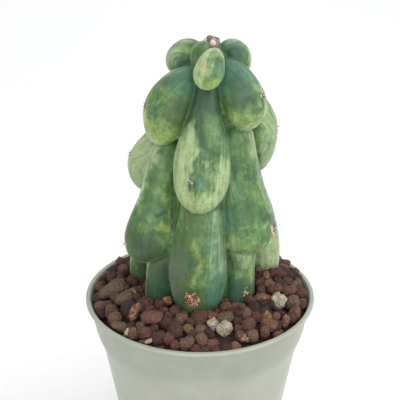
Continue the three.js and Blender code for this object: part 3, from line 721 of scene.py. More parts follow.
# Which lobe each point of the skin belongs to, and where on that lobe it lies
shell_tree = BVHTree.FromPolygons([Vector(p) for p in points], faces)
owner = np.array([owners[shell_tree.find_nearest(Vector(p))[2]] for p in places])
along = np.zeros(count)
lobe_map = np.zeros((count, 3))
paint = {layer: np.zeros(count) for layer in SKIN_LAYERS}
wrinkle = np.full(count, 0.5)
stem_points = places / MM - STEM_BASE
stem_points -= stem_points[:, 2:3] * LEAN
samples = np.linspace(0, 1, LOBE_SAMPLES)


def strayed(spot):
    """How far colour borders stray from their drawn lines: a millimetre or two."""
    wide = noise.noise(spot / (STRAY_WIDTH * MM))
    return STRAY * (wide + 0.5 * noise.noise(spot / (0.3 * STRAY_WIDTH * MM)))


stray = np.array([
    [strayed(spot) for spot in (Vector(p), Vector(p) + Vector((1, 1, 1)))] for p in places])


def soft_band(values, low, high, edge):
    """1 between low and high, 0 outside, with a soft edge of the given width."""
    rising = np.clip((values - low) / edge + 0.5, 0, 1)
    return rising * np.clip((high - values) / edge + 0.5, 0, 1)


for number, lobe in enumerate(lobes):
    mine = np.nonzero(owner == number)[0]
    centres, normals = lobe.section(samples)
    offsets = stem_points[mine][:, None] - centres
    nearest = np.linalg.norm(offsets, axis=2).argmin(1)
    offset = offsets[np.arange(len(mine)), nearest]
    right = offset @ lobe.right
    out = (offset * normals[nearest]).sum(1)
    t = samples[nearest]
    degrees = np.degrees(np.arctan2(right / lobe.form["width"], out / lobe.form["depth"]))
    length = np.linalg.norm(np.diff(centres, axis=0), axis=1).sum()
    along[mine] = t
    radius = lobe.form["width"] / 2 * np.maximum(lobe.girth(t), 0.3)
    lobe_map[mine] = np.stack([
        np.radians(degrees) * radius, t * length, np.full(len(mine), number * 41.0)], 1)
    wrinkle[mine] = lobe.form["wrinkle"]
    across = np.radians(degrees) * radius + stray[mine, 0]
    down = t * length + stray[mine, 1]
    kind_patches = KIND_PAINT[lobe.form["kind"]]
    for layer in SKIN_LAYERS:
        for low, high, left, right_end, edge, strength in (
                kind_patches.get(layer, []) + lobe.form.get(layer, [])):
            patch = soft_band(down, low * length, high * length, edge)
            patch *= soft_band(across, math.radians(left) * radius,
                               math.radians(right_end) * radius, edge)
            paint[layer][mine] = np.maximum(paint[layer][mine], patch * strength)

# How far each point lies from the neighbouring lobes and the stem: none in a groove
to_groove = np.full(count, 9.0)
for number in range(len(lobes) + 1):
    own_faces = [face for face, face_owner in zip(faces, owners) if face_owner == number]
    shell = BVHTree.FromPolygons([Vector(p) for p in points], own_faces)
    for i in np.nonzero(owner != number)[0]:
        distance = shell.find_nearest(Vector(places[i]), 3 * GROOVE_WIDTH * MM)[3]
        if distance is not None:
            to_groove[i] = min(to_groove[i], distance / MM)

# Swell, ripple along the lobes and pull in round each areole
normals = np.empty(count * 3)
skin_mesh.vertices.foreach_set("co", places.ravel())
skin_mesh.update()
skin_mesh.vertices.foreach_get("normal", normals)
normals = normals.reshape(-1, 3)
lift = np.zeros(count)
for i in range(count):
    swell = noise.noise(Vector(places[i] / (SWELL_WIDTH * MM)))
    u, v, w = lobe_map[i]
    ripple = noise.noise(Vector((u / RIPPLE_WIDTH, v / RIPPLE_LENGTH, w)))
    lift[i] = SWELL_HEIGHT * swell + RIPPLE_HEIGHT * wrinkle[i] * ripple
lift -= GROOVE_DEPTH * np.exp(-(to_groove / GROOVE_WIDTH) ** 2)
areole_spots = []
for lobe in lobes:
    for t, degrees, radius, spines in lobe.form["areoles"]:
        point, facing = lobe.surface(t, degrees)
        areole_spots.append((planted(point), facing, radius, spines))
        reach = np.linalg.norm(places - planted(point), axis=1) / MM
        lift -= DIMPLE_DEPTH * radius * np.exp(-(reach / (DIMPLE_RADIUS * (0.5 + radius))) ** 2)
places += normals * lift[:, None] * MM
skin_mesh.vertices.foreach_set("co", places.ravel())
skin_mesh.update()

# Painted shade: points near a groove between lobes get a crease shade that darkens their
# colour, less under a lobe's rounded end, where it hangs free
free_share = np.clip((along - FREE_END[0]) / (FREE_END[1] - FREE_END[0]), 0, 1)
crease = np.exp(-(to_groove / SHADE_WIDTH) ** 2) * (1 - 0.7 * free_share)
for name, values in (*paint.items(), ("crease", crease), ("wrinkle", wrinkle)):
    skin_mesh.attributes.new(name, "FLOAT", "POINT").data.foreach_set("value", values)
skin_mesh.attributes.new("lobe_map", "FLOAT_VECTOR", "POINT").data.foreach_set(
    "vector", lobe_map.ravel())
skin_mesh.shade_smooth()

# Cactus skin: living green flesh under a thin wax bloom. Satin, softly see-through, with
# a pale powdery edge; the variegation lies in streaks and clouds that follow each lobe,
# and shade is painted into the grooves between the lobes.
flesh = Finish(
    "waxy_cactus_skin", Roughness=0.5, IOR=1.45, Subsurface_Weight=0.10,
    Subsurface_Radius=(0.8, 1.0, 0.4), Subsurface_Scale=1.6 * MM, Sheen_Weight=0.36,
    Sheen_Roughness=0.28, Sheen_Tint=linear("#e6f2e0"))
on_lobe = flesh.add("Attribute", attribute_name="lobe_map").outputs["Vector"]
given = {name: flesh.add("Attribute", attribute_name=name).outputs["Fac"]
         for name in (*SKIN_LAYERS, "crease", "wrinkle")}
streak_map = flesh.add("Mapping", Vector=on_lobe, Scale=(1 / STREAK[0], 1 / STREAK[1], 1))
patterns = {"streak": flesh.add("TexNoise", Vector=streak_map, Scale=1.0, Detail=4.0,
                                Roughness=0.6, Distortion=0.5)}
for name, size in (("blotch", BLOTCH), ("cloud", CLOUD), ("mottle", MOTTLE)):
    patterns[name] = flesh.add("TexNoise", Vector=flesh.place, Scale=1 / (size * MM),
                               Detail=4.0, Roughness=0.62, Distortion=0.4)

green_cloud = flesh.add("Math", patterns["cloud"], 0.45, operation="MULTIPLY")
green_mix = flesh.add(
    "Math", patterns["blotch"], 0.55, green_cloud, operation="MULTIPLY_ADD")
colour = flesh.add("ValToRGB", green_mix, stops=[
    (0.36, "#3b5c38"), (0.46, "#4c6f41"), (0.54, "#5f8049"), (0.66, "#7b985b")])
# A layer shows where its patches and the noises that fray them add up to enough
for layer, (hex_colour, frays, low, high, most) in SKIN_LAYERS.items():
    total = given[layer]
    for name, weight in frays.items():
        fray = flesh.add("Math", patterns[name], weight, -0.5 * weight,
                         operation="MULTIPLY_ADD")
        total = flesh.add("Math", total, fray, operation="ADD")
    factor = flesh.add("MapRange", total, From_Min=low, From_Max=high, To_Max=most,
                       interpolation_type="SMOOTHSTEP")
    colour = flesh.add("Mix", factor, colour, linear(hex_colour), data_type="RGBA")
fine = flesh.add("MapRange", patterns["streak"], 0.3, 0.7, 0.76, 1.20)
speckle = flesh.add("MapRange", patterns["mottle"], 0.3, 0.7, 0.82, 1.18)
tone = flesh.add("Math", fine, speckle, operation="MULTIPLY")
toned = flesh.add("VectorMath", colour, operation="SCALE", Scale=tone)
# Painted shade: the crease shade blends the colour towards a dark green in the grooves
shade = flesh.add("MapRange", given["crease"], To_Max=0.8)

# Dried skin cracks into a net of fine lines, closer together across the lobe than along it
crackle_map = flesh.add("Mapping", Vector=on_lobe, Scale=(1 / CRACKLE[0], 1 / CRACKLE[1], 1))
crackle = flesh.add("TexVoronoi", feature="DISTANCE_TO_EDGE", Vector=crackle_map, Scale=1.0)
crackle_depth = flesh.add("MapRange", crackle.outputs["Distance"], From_Max=0.16)
crackle_height = flesh.add("Math", crackle_depth, given["dry"], operation="MULTIPLY")
wrinkle_height = flesh.add(
    "Math", patterns["streak"], given["wrinkle"], crackle_height, operation="MULTIPLY_ADD")
skin_height = flesh.add(
    "Math", patterns["mottle"], 0.25, wrinkle_height, operation="MULTIPLY_ADD")
flesh.join(
    Base_Color=flesh.add("Mix", shade, toned, linear("#203a28"), data_type="RGBA"),
    Normal=flesh.add("Bump", Height=skin_height, Strength=0.5, Distance=0.3 * MM),
    Roughness=flesh.add("MapRange", patterns["cloud"], To_Min=0.34, To_Max=0.52))
skin_mesh.materials.append(flesh.material)
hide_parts("cactus")
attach(skin, "root")
skin_tree = BVHTree.FromPolygons(
    [Vector(p) for p in places], [tuple(face.vertices) for face in skin_mesh.polygons])


# Areoles and growing tip
# Along each rib the skin bears cushions of felted grey-brown wool, each with a few short
# stout spines, brown to near black. The growing tip is a tuft of the same wool. All of it
# grew out of the skin, in dry hair-fine fibres and horny spines.
FIBRES_PER_AREOLE = 34
FIBRE_LENGTH = (0.7, 1.25)
FIBRE_THICKNESS = 0.9
FIBRE_LEAN = (0.2, 1.1)
FIBRE_TONES = (0.3, 1)
ROOT_SINK = 0.1
SPINE_LENGTH = (1.6, 2.5)
SPINE_THICKNESS = 1.5
SPINE_SPREAD = (30, 62)
LONE_SPINE_LEAN = 0.25
CUSHION_HEIGHT = 0.5
CUSHION_TONES = (0.5, 0.8)
TIP_HEIGHT = 69.9
TIP_RADIUS = 2.1
TIP_HALF_HEIGHT = 1.4
TIP_SINK = 1.2
TIP_TUFTS = 14
TUFT_TONES = (0.12, 0.3, 0.45, 0.7)
TIP_FIBRES = 200
TIP_SPINES = 5


def tapered_shape(name, sides, rings, thickness, bend):
    """A curved point, one millimetre long, that stands on the origin along +Z."""
    shape = bmesh.new()
    loops = []
    for i in range(rings):
        t = i / rings
        radius = thickness * (1 - t) ** 0.8
        loops.append([
            shape.verts.new((
                (math.cos(2 * math.pi * j / sides) * radius + bend * t * t) * MM,
                math.sin(2 * math.pi * j / sides) * radius * MM, t * MM))
            for j in range(sides)])
    tip = shape.verts.new((bend * MM, 0, MM))
    shape.faces.new(loops[0][::-1])
    for lower, upper in zip(loops, loops[1:]):
        for j in range(sides):
            k = (j + 1) % sides
            shape.faces.new((lower[j], lower[k], upper[k], upper[j]))
    for j in range(sides):
        shape.faces.new((loops[-1][j], loops[-1][(j + 1) % sides], tip))
    mesh = bpy.data.meshes.new(name)
    shape.to_mesh(mesh)
    shape.free()
    return mesh


def lumpy_shape(name, subdivisions, lumps, lump_size, seed, bluntness=0.0):
    """An uneven ball one millimetre in radius; a blunt one nears a box."""
    shape = bmesh.new()
    bmesh.ops.create_icosphere(shape, subdivisions=subdivisions, radius=1.0)
    shift = Vector((seed * 7.31, seed * 3.17, seed * 5.03))
    for vert in shape.verts:
        rise = 1 + lumps * noise.noise(vert.co / lump_size + shift)
        rise += 0.4 * lumps * noise.noise(vert.co / lump_size * 2.7 - shift)
        rise /= max(abs(axis) for axis in vert.co) ** bluntness
        vert.co = vert.co * rise * MM
    mesh = bpy.data.meshes.new(name)
    shape.to_mesh(mesh)
    shape.free()
    return mesh


def copies_tree(name, material):
    """Stands shapes of a collection on points, as the points' attributes say."""
    tree = bpy.data.node_groups.new(name, "GeometryNodeTree")
    for socket, kind in (("Points", "Geometry"), ("Shapes", "Collection"),
                         ("Size Change", "Float"), ("Seed", "Int")):
        tree.interface.new_socket(socket, in_out="INPUT", socket_type="NodeSocket" + kind)
    tree.interface.new_socket("Copies", in_out="OUTPUT", socket_type="NodeSocketGeometry")
    given = add_node(tree, "NodeGroupInput").outputs
    shapes = add_node(tree, "GeometryNodeCollectionInfo", Collection=given["Shapes"],
                      Separate_Children=True, Reset_Children=True)
    turn, size, number = (
        add_node(tree, "GeometryNodeInputNamedAttribute", Name=key, data_type=kind)
        for key, kind in (("turn", "FLOAT_VECTOR"), ("size", "FLOAT_VECTOR"), ("kind", "INT")))
    smaller = add_node(tree, "Math", 1.0, given["Size Change"], operation="SUBTRACT")
    larger = add_node(tree, "Math", 1.0, given["Size Change"], operation="ADD")
    change = add_node(tree, "FunctionNodeRandomValue", smaller, larger,
                      data_type="FLOAT", Seed=given["Seed"])
    stood = add_node(
        tree, "GeometryNodeInstanceOnPoints", Points=given["Points"], Instance=shapes,
        Pick_Instance=True, Instance_Index=number,
        Rotation=add_node(tree, "FunctionNodeEulerToRotation", turn),
        Scale=add_node(tree, "VectorMath", size, operation="SCALE", Scale=change))
    real = add_node(tree, "GeometryNodeRealizeInstances", stood)
    smooth = add_node(tree, "GeometryNodeSetShadeSmooth", real)
    dressed = add_node(tree, "GeometryNodeSetMaterial", smooth, Material=material)
    add_node(tree, "NodeGroupOutput", dressed)
    return tree


def stood_copies(name, material, shapes, rows, seed, size_change=0.08):
    """One plain mesh of shapes; a row is place, turn, size in mm, shape number and tone."""
    group = bpy.data.collections.new(name + "_shapes")
    models = [bpy.data.objects.new(f"{name}_{i:02d}", mesh) for i, mesh in enumerate(shapes)]
    for model in models:
        group.objects.link(model)
    points_mesh = bpy.data.meshes.new(name + "_points")
    points_mesh.from_pydata([tuple(row[0]) for row in rows], [], [])
    for key, kind, field, column in (
            ("turn", "FLOAT_VECTOR", "vector", 1), ("size", "FLOAT_VECTOR", "vector", 2),
            ("kind", "INT", "value", 3), ("tone", "FLOAT", "value", 4)):
        values = np.array([row[column] for row in rows]).ravel()
        points_mesh.attributes.new(key, kind, "POINT").data.foreach_set(field, values)
    piece = new_object(name, points_mesh)
    tree = copies_tree(name + "_copies", material)
    growth = piece.modifiers.new("copies", "NODES")
    growth.node_group = tree
    wanted = {"Shapes": group, "Size Change": size_change, "Seed": seed}
    for socket in tree.interface.items_tree:
        if socket.name in wanted:
            growth[socket.identifier] = wanted[socket.name]
    mesh = baked(piece, name)
    for key in ("turn", "size", "kind"):
        if key in mesh.attributes:
            mesh.attributes.remove(mesh.attributes[key])
    for model in models:
        bpy.data.objects.remove(model)
    bpy.data.collections.remove(group)
    return piece


def on_skin(point):
    """The nearest point of the skin and the direction that it faces."""
    place, facing, _, _ = skin_tree.find_nearest(Vector(point))
    return place, facing


def turned_to(direction, spin):
    """Euler angles that turn +Z to a direction, after a spin about it."""
    turn = direction.to_track_quat("Z", "Y") @ Matrix.Rotation(spin, 3, "Z").to_quaternion()
    return tuple(turn.to_euler())


def leaning(facing, spread, turn):
    """The direction that leans off a facing by a spread, towards a turn about it."""
    aside = facing.orthogonal().normalized()
    aside.rotate(Matrix.Rotation(turn, 3, facing))
    return (facing * math.cos(spread) + aside * math.sin(spread)).normalized()


def toned_material(name, stops, **shader_inputs):
    """A finish whose colour follows the tone that each copy carries."""
    finish = Finish(name, **shader_inputs)
    tone = finish.add("Attribute", attribute_name="tone").outputs["Fac"]
    finish.join(Base_Color=finish.add("ValToRGB", tone, stops=stops))
    return finish.material


dice = random.Random(414)
wool_rows, spine_rows = [], []
for spot, facing, radius, spines in areole_spots:
    if spines == 0:
        continue
    place, facing = on_skin(spot)
    spin = dice.uniform(0, 2 * math.pi)
    wool_rows.append((
        place, turned_to(facing, spin), (radius, radius, radius * CUSHION_HEIGHT), 0,
        dice.uniform(*CUSHION_TONES)))
    for _ in range(int(FIBRES_PER_AREOLE * radius ** 1.5)):
        turn = dice.uniform(0, 2 * math.pi)
        reach = radius * dice.uniform(0, 1) ** 0.6
        root = place + (leaning(facing, math.pi / 2, turn) * reach * 0.8 - facing * ROOT_SINK) * MM
        lean = leaning(facing, FIBRE_LEAN[0] + FIBRE_LEAN[1] * reach / radius,
                       turn + dice.uniform(-0.6, 0.6))
        length = radius * dice.uniform(*FIBRE_LENGTH)
        wool_rows.append((
            root, turned_to(lean, dice.uniform(0, 6)),
            (FIBRE_THICKNESS, FIBRE_THICKNESS, length), 1, dice.uniform(*FIBRE_TONES)))
    start = dice.uniform(0, 2 * math.pi)
    for i in range(spines):
        spread = math.radians(dice.uniform(*SPINE_SPREAD)) if spines > 1 else LONE_SPINE_LEAN
        turn = start + 2 * math.pi * (i + dice.uniform(-0.2, 0.2)) / spines
        lean = leaning(facing, spread, turn)
        length = dice.uniform(*SPINE_LENGTH) * min(1.1, radius + 0.35)
        spine_rows.append((
            place + lean * ROOT_SINK * MM, turned_to(lean, dice.uniform(0, 6)),
            (SPINE_THICKNESS, SPINE_THICKNESS, length), 0, dice.uniform(0, 1)))

tip_place = Vector(planted((0, 0, TIP_HEIGHT)))
wool_rows.append((
    tip_place - Vector((0, 0, TIP_SINK * MM)), (0, 0, 0),
    (TIP_RADIUS, TIP_RADIUS, TIP_HALF_HEIGHT), 0, FIBRE_TONES[0]))
for i in range(TIP_TUFTS):
    lean = leaning(Vector((0, 0, 1)), math.radians(85) * dice.uniform(0.2, 1),
                   2 * math.pi * (i + dice.uniform(0, 0.8)) / TIP_TUFTS)
    size = dice.uniform(0.45, 0.8)
    wool_rows.append((
        tip_place + Vector((lean.x * 1.9, lean.y * 1.9, lean.z * 1.2 - 1.0)) * MM,
        turned_to(lean, 0), (size, size, size * 0.8), 0, dice.choice(TUFT_TONES)))
for i in range(TIP_FIBRES):
    lean = leaning(Vector((0, 0, 1)), math.radians(88) * dice.uniform(0, 1) ** 0.6,
                   dice.uniform(0, 2 * math.pi))
    root = tip_place + Vector((lean.x * 0.72 * TIP_RADIUS, lean.y * 0.72 * TIP_RADIUS,
                               lean.z * 1.0 - 1.0)) * MM
    lean = (lean + Vector([dice.uniform(-0.5, 0.5) for _ in range(3)])).normalized()
    wool_rows.append((
        root, turned_to(lean, dice.uniform(0, 6)),
        (1.3, 1.3, dice.uniform(0.6, 1.0)), 1, dice.uniform(0.1, 1)))
for i in range(TIP_SPINES):
    lean = leaning(Vector((0, 0, 1)), math.radians(dice.uniform(15, 65)),
                   2 * math.pi * (i + dice.uniform(0, 0.6)) / TIP_SPINES)
    root = tip_place + Vector((lean.x, lean.y, lean.z - 1.1)) * 0.8 * MM
    spine_rows.append((root, turned_to(lean, dice.uniform(0, 6)),
                       (SPINE_THICKNESS, SPINE_THICKNESS, dice.uniform(0.9, 1.3)), 0,
                       dice.uniform(0, 1)))

# Felted plant wool: matt, dusty fibres from off-white to rusty brown, one tone to a fibre
wool = toned_material(
    "felted_plant_wool", Roughness=0.95,
    stops=[(0.0, "#5d4b40"), (0.3, "#8d7a6a"), (0.6, "#c9bdae"), (0.9, "#efe9dd")])
# Horny spines: smooth and satin, near black to brown, one tone to a spine
horn = toned_material(
    "horny_spine", Roughness=0.4, IOR=1.53,
    stops=[(0.0, "#2a1c1a"), (0.7, "#4a2c24"), (1.0, "#7a4a34")])

wool_shapes = [lumpy_shape("cushion", 3, 0.25, 0.5, 1),
               tapered_shape("fibre", 3, 2, 0.055, 0.35)]
areole_wool = stood_copies("areole_wool", wool, wool_shapes, wool_rows, 3)
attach(areole_wool, "root")
spine_shapes = [tapered_shape("spine", 6, 4, 0.09, 0.12)]
spines_piece = stood_copies("spines", horn, spine_shapes, spine_rows, 4)
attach(spines_piece, "root")


# Corky scars
# Old areoles near the soil, and knocks on the skin, have healed into crusts of dry cork:
# small plates that curl and crumble, salmon and rust to cream, stuck fast to the skin.
# Each scar is (lobe, along it, degrees off its outer line, half width, half length,
# number of plates, lowest and highest tone). A scar of one plate is a speck.
SCARS = [
    (2, 0.735, -6, 2.4, 2.8, 130, 0.05, 0.8), (5, 0.80, 14, 1.1, 3.2, 70, 0.6, 1.0),
    (6, 0.49, -26, 0.8, 1.5, 26, 0.7, 1.0), (8, 0.56, -32, 0.45, 2.6, 30, 0.0, 0.4),
    (13, 0.5, 0, 0.8, 1.3, 14, 0.3, 0.9), (16, 0.55, -8, 0.9, 1.2, 14, 0.2, 0.8),
    (12, 0.82, -10, 0.8, 1.6, 16, 0.4, 1.0), (9, 0.5, 10, 0.7, 1.2, 10, 0.2, 0.8),
    (1, 0.69, -14, 1.0, 2.0, 12, 0.0, 0.3),
    (14, 0.4, 30, 0.6, 0.4, 3, 0.1, 0.3),
    (19, 0.42, 70, 0.2, 0.2, 1, 0.95, 1.0), (19, 0.49, 100, 0.2, 0.2, 1, 0.95, 1.0),
    (2, 0.30, -29, 0.2, 0.2, 1, 0.9, 1.0), (1, 0.89, 56, 0.2, 0.2, 1, 0.9, 1.0),
    (11, 0.4, 40, 0.2, 0.2, 1, 0.9, 1.0), (12, 0.3, -50, 0.2, 0.2, 1, 0.9, 1.0),
    (15, 0.5, -30, 0.5, 0.5, 1, 0.9, 1.0), (9, 0.3, 20, 0.2, 0.2, 1, 0.9, 1.0),
]
PLATE_SIZE = (0.28, 0.62)
PLATE_THICKNESS = 0.35
PLATE_SHAPES = 4
PLATE_LEAN = 60
MOUND = 0.16

cork_rows = []
for number, t, degrees, half_width, half_length, plates, low_tone, high_tone in SCARS:
    lobe = lobes[number]
    for _ in range(plates):
        turn = dice.uniform(0, 2 * math.pi)
        reach = math.sqrt(dice.uniform(0, 1))
        length = np.linalg.norm(lobe.line[2] - lobe.line[0])
        size = dice.uniform(*PLATE_SIZE) * (1.15 - 0.35 * reach)
        size *= min(1, 0.35 + 0.2 * half_width)
        spot, _ = lobe.surface(
            t + reach * math.sin(turn) * half_length / length,
            degrees + math.degrees(reach * math.cos(turn) * half_width * 2 / lobe.form["width"]))
        place, facing = on_skin(planted(spot))
        lean = leaning(facing, math.radians(dice.uniform(0, PLATE_LEAN)), dice.uniform(0, 6))
        lift = (1 - reach) * min(half_width, half_length) * MOUND
        cork_rows.append((
            place + facing * lift * MM, turned_to(lean, dice.uniform(0, 6)),
            (size, size * dice.uniform(0.35, 0.9), size * PLATE_THICKNESS),
            dice.randrange(PLATE_SHAPES), dice.uniform(low_tone, high_tone)))

# Dry cork: matt and crumbly, each plate its own shade from dark rust to salmon and cream
cork = toned_material(
    "dry_cork", Roughness=0.92,
    stops=[(0.0, "#2f2620"), (0.2, "#62452f"), (0.45, "#b98a66"), (0.75, "#cfa98a"),
           (1.0, "#ddd0a4")])
plate_shapes = [
    lumpy_shape(f"plate_{i}", 2, 0.55, 0.8, 11 + i) for i in range(PLATE_SHAPES)]
scars_piece = stood_copies("corky_scars", cork, plate_shapes, cork_rows, 5)
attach(scars_piece, "root")


# Pumice stones
# Three pale pieces of pumice that got in with the grit: a light volcanic glass foam, grey
# and cream, broken into blunt lumps and riddled with pores. They lie half sunk in the grit.
# For each packed stone, the dressed one's shift in mm and how it is stretched.
PUMICE_STONES = {
    "pumice_stone_1": ((-0.6, 0.0, 0.6), (1.25, 1.1, 1.3)),
    "pumice_stone_2": ((0.35, 0.0, 0.4), (1.4, 1.1, 1.2)),
    "pumice_stone_3": ((-0.2, 0.0, 0.2), (1.12, 1.0, 1.2)),
}
BLUNTNESS = 0.5
PUMICE_DETAIL = 5
PORE_SIZE = 0.55
PORE_DEPTH = 0.12
PUMICE_LUMPS = (0.22, 0.75)
PUMICE_CLOUD = 1.1

# Pumice: dry and chalky, pale grey clouded with cream, with open pores painted dark for
# the shade inside them
pumice = Finish("porous_pumice", Roughness=0.95)
pores = pumice.add("TexVoronoi", Vector=pumice.place,
                   Scale=1 / (PORE_SIZE * MM)).outputs["Distance"]
pumice_cloud = pumice.add(
    "TexNoise", Vector=pumice.place, Scale=1 / (PUMICE_CLOUD * MM), Detail=4.0)
pumice_base = pumice.add(
    "ValToRGB", pumice_cloud, stops=[(0.3, "#8b7e6f"), (0.5, "#a99c8a"), (0.7, "#c4b8a2")])
# Painted shade: the pores are blended towards a deep brown
pore_shade = pumice.add("MapRange", pores, 0.10, 0.40, 0.9, 0.0)
pumice.join(
    Base_Color=pumice.add(
        "Mix", pore_shade, pumice_base, linear("#41342c"), data_type="RGBA"),
    Normal=pumice.add("Bump", Height=pores, Strength=0.8, Distance=0.3 * MM))

fixed_stones = []
for number, (node, (shift, stretch)) in enumerate(PUMICE_STONES.items()):
    low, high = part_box(node)
    centre = (low + high) / 2 + Vector(shift) * MM
    half_size = Vector(a * b for a, b in zip((high - low) / 2, stretch))
    spin = Matrix.Rotation(1.1 + number, 3, (0.4, 0.5, 0.8))
    stone_mesh = lumpy_shape(
        node + "_foam", PUMICE_DETAIL, *PUMICE_LUMPS, 40 + number, BLUNTNESS)
    for vert in stone_mesh.vertices:
        vert.co = spin @ vert.co
    reach = Vector([max(abs(v.co[axis]) for v in stone_mesh.vertices) for axis in range(3)])
    for vert in stone_mesh.vertices:
        co = Vector(vert.co[axis] / reach[axis] * half_size[axis] for axis in range(3))
        pore = noise.voronoi((co + centre) / (PORE_SIZE * MM))[0][0]
        co -= co.normalized() * max(0.0, 0.5 - pore) * 2 * PORE_DEPTH * MM
        vert.co = co + centre
    stone_mesh.shade_smooth()
    stone = new_object(node + "_foam", stone_mesh, pumice.material)
    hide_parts(node)
    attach(stone, "root")
    fixed_stones.append((*(centre / MM), max(half_size.x, half_size.z) / MM))


# Lava grit
# A top dressing of tumbled red-brown lava, 3 to 5 mm grains poured dry round the stem and
# left as it settled: highest at the stem, lower at the wall. Grains differ in shade, and a
# few are grey, ochre or cream.
GRAIN_RADIUS = (1.4, 2.5)
GRAIN_SHAPES = 12
GRAIN_LUMPS = (0.42, 0.85)
GRAIN_BLUNTNESS = 0.4
GRAIN_STRETCH = ((0.82, 1.0), (0.95, 1.1), (1.05, 1.25))
TONE_MIDDLE = 0.42
TONE_SPREAD = 0.18
TONE_MOST = 0.74
PALE_SHARE = 0.06
PALE_TONES = (0.78, 0.9)
GRAIN_REACH = 30.6
GRAIN_CONTACT = 0.88
# Shares of their radius that stones and marked grains take up, and that a grain keeps
# below the grit's top and off the wall and the stem
STONE_SHARE = 1.1
MARKED_SHARE = 0.95
TOP_SHARE = 0.85
WALL_SHARE = 0.8
STEM_SHARE = 0.72
GRIT_LAYER = 6.0
# Height of the grit's top by azimuth: at the pot's wall and at the stem, in mm
GRIT_LEVELS = [
    (-180, 58.4, 61.5), (-150, 58.4, 61.2), (-126, 58.0, 61.0), (-100, 57.8, 60.8),
    (-75, 57.4, 61.0), (-45, 56.4, 61.6), (0, 55.7, 60.0), (45, 56.8, 61.6),
    (75, 57.4, 63.4), (100, 57.7, 65.0), (112, 58.6, 65.2), (122, 59.3, 65.2),
    (135, 59.2, 64.0), (150, 58.8, 62.6), (180, 58.4, 61.5),
]
GRIT_SLOPE = 15.0
STEM_RADIUS = 12.0
MOST_GRAINS = 2000
GRAIN_TRIES = 320
PLACES_TO_A_TRY = 8
GRAIN_SHRINK = 0.4
SCORIA_CLOUD = 1.1
SCORIA_PIT = 0.6
# Grains that stand out: place x, y, z and half size across, deep and high in mm, tilt to
# the left in degrees, and tone
MARKED_GRAINS = [
    (-24.8, -2.7, 59.0, 4.6, 2.4, 1.7, 23, 0.78), (-20.9, -8.4, 59.3, 2.9, 2.1, 1.7, 5, 0.76),
    (-17.8, -16.5, 59.7, 2.9, 1.6, 1.3, 64, 0.88), (-19.2, -21.4, 56.5, 1.3, 0.9, 0.7, 60, 1.0),
    (-13.4, -25.7, 56.4, 1.3, 0.8, 0.5, 25, 1.1), (-17.6, -22.1, 56.6, 1.3, 1.3, 1.9, 0, 0.70),
    (-3.3, -26.9, 56.6, 2.3, 2.1, 2.0, 10, 0.80), (-21.2, -19.1, 56.9, 2.6, 1.5, 1.1, -20, 0.80),
    (-12.9, -19.0, 59.7, 2.9, 2.1, 1.5, 10, 0.60), (-8.9, -13.3, 61.4, 1.3, 1.3, 1.3, 0, 0.86),
    (25.6, -9.0, 58.2, 2.1, 2.0, 2.1, 0, 0.78), (22.9, -17.0, 56.9, 1.3, 1.3, 1.7, 0, 0.88),
    (11.1, -25.5, 57.4, 1.2, 1.1, 1.1, 0, 0.90), (13.6, -24.2, 57.0, 1.8, 1.7, 1.8, 0, 0.70),
    (18.1, -20.0, 58.0, 2.2, 1.8, 1.6, 0, 0.62), (17.0, -22.0, 56.9, 1.5, 1.4, 2.1, 0, 0.60),
    (25.0, -4.8, 59.6, 2.1, 1.6, 1.4, 0, 0.60),
    (25.9, -12.6, 57.1, 1.8, 1.7, 1.7, 0, 0.60),
]


def grit_top(x, y):
    """Height that the tops of the grains reach, in mm."""
    share = min(1.0, max(0.0, (BAND_TOP_RADIUS - math.hypot(x, y)) / GRIT_SLOPE))
    azimuths, at_wall, at_stem = zip(*GRIT_LEVELS)
    azimuth = math.degrees(math.atan2(x, -y))
    wall, stem = (float(np.interp(azimuth, azimuths, level)) for level in (at_wall, at_stem))
    return wall + (stem - wall) * math.sin(share * math.pi / 2)


def wall_inside(height):
    """Inner radius of the pot's collar band at a height, in mm."""
    share = (height - BAND_FOOT_HEIGHT) / (POT_HEIGHT - LIP_HEIGHT - BAND_FOOT_HEIGHT)
    share = min(1.0, share)
    return BAND_FOOT_RADIUS + (BAND_TOP_RADIUS - BAND_FOOT_RADIUS) * share - WALL


settled = np.zeros((MOST_GRAINS, 4))
count_settled = 0
for x, y, z, radius in fixed_stones:
    settled[count_settled] = (x, y, z, radius * STONE_SHARE)
    count_settled += 1
for x, y, z, a, b, c, _, _ in MARKED_GRAINS:
    settled[count_settled] = (x, y, z, (a + b + c) / 3 * MARKED_SHARE)
    count_settled += 1
first_free = count_settled
sand = np.random.default_rng(77)
misses = 0
while misses < GRAIN_TRIES:
    radius = sand.uniform(*GRAIN_RADIUS) * (1 - GRAIN_SHRINK * misses / GRAIN_TRIES)
    best = None
    most_room = 0.0
    for _ in range(PLACES_TO_A_TRY):
        angle = sand.uniform(0, 2 * math.pi)
        r = math.sqrt(sand.uniform(STEM_RADIUS ** 2, GRAIN_REACH ** 2))
        x, y = r * math.cos(angle), r * math.sin(angle)
        near = settled[:count_settled]
        gap = np.hypot(near[:, 0] - x, near[:, 1] - y)
        touch = (near[:, 3] + radius) * GRAIN_CONTACT
        under = gap < touch
        z = grit_top(x, y) - GRIT_LAYER
        if under.any():
            rests = near[under, 2] + np.sqrt(touch[under] ** 2 - gap[under] ** 2)
            z = max(z, rests.max())
        room = grit_top(x, y) - z - radius * TOP_SHARE
        if room > most_room and r + radius * WALL_SHARE < wall_inside(z):
            best = (x, y, z)
            most_room = room
    if best is not None:
        place, facing = on_skin(Vector(best) * MM)
        away = Vector(best) * MM - place
        if away.dot(facing) < 0 or away.length < radius * STEM_SHARE * MM:
            best = None
    if best is None:
        misses += 1
        continue
    misses = 0
    settled[count_settled] = (*best, radius)
    count_settled += 1

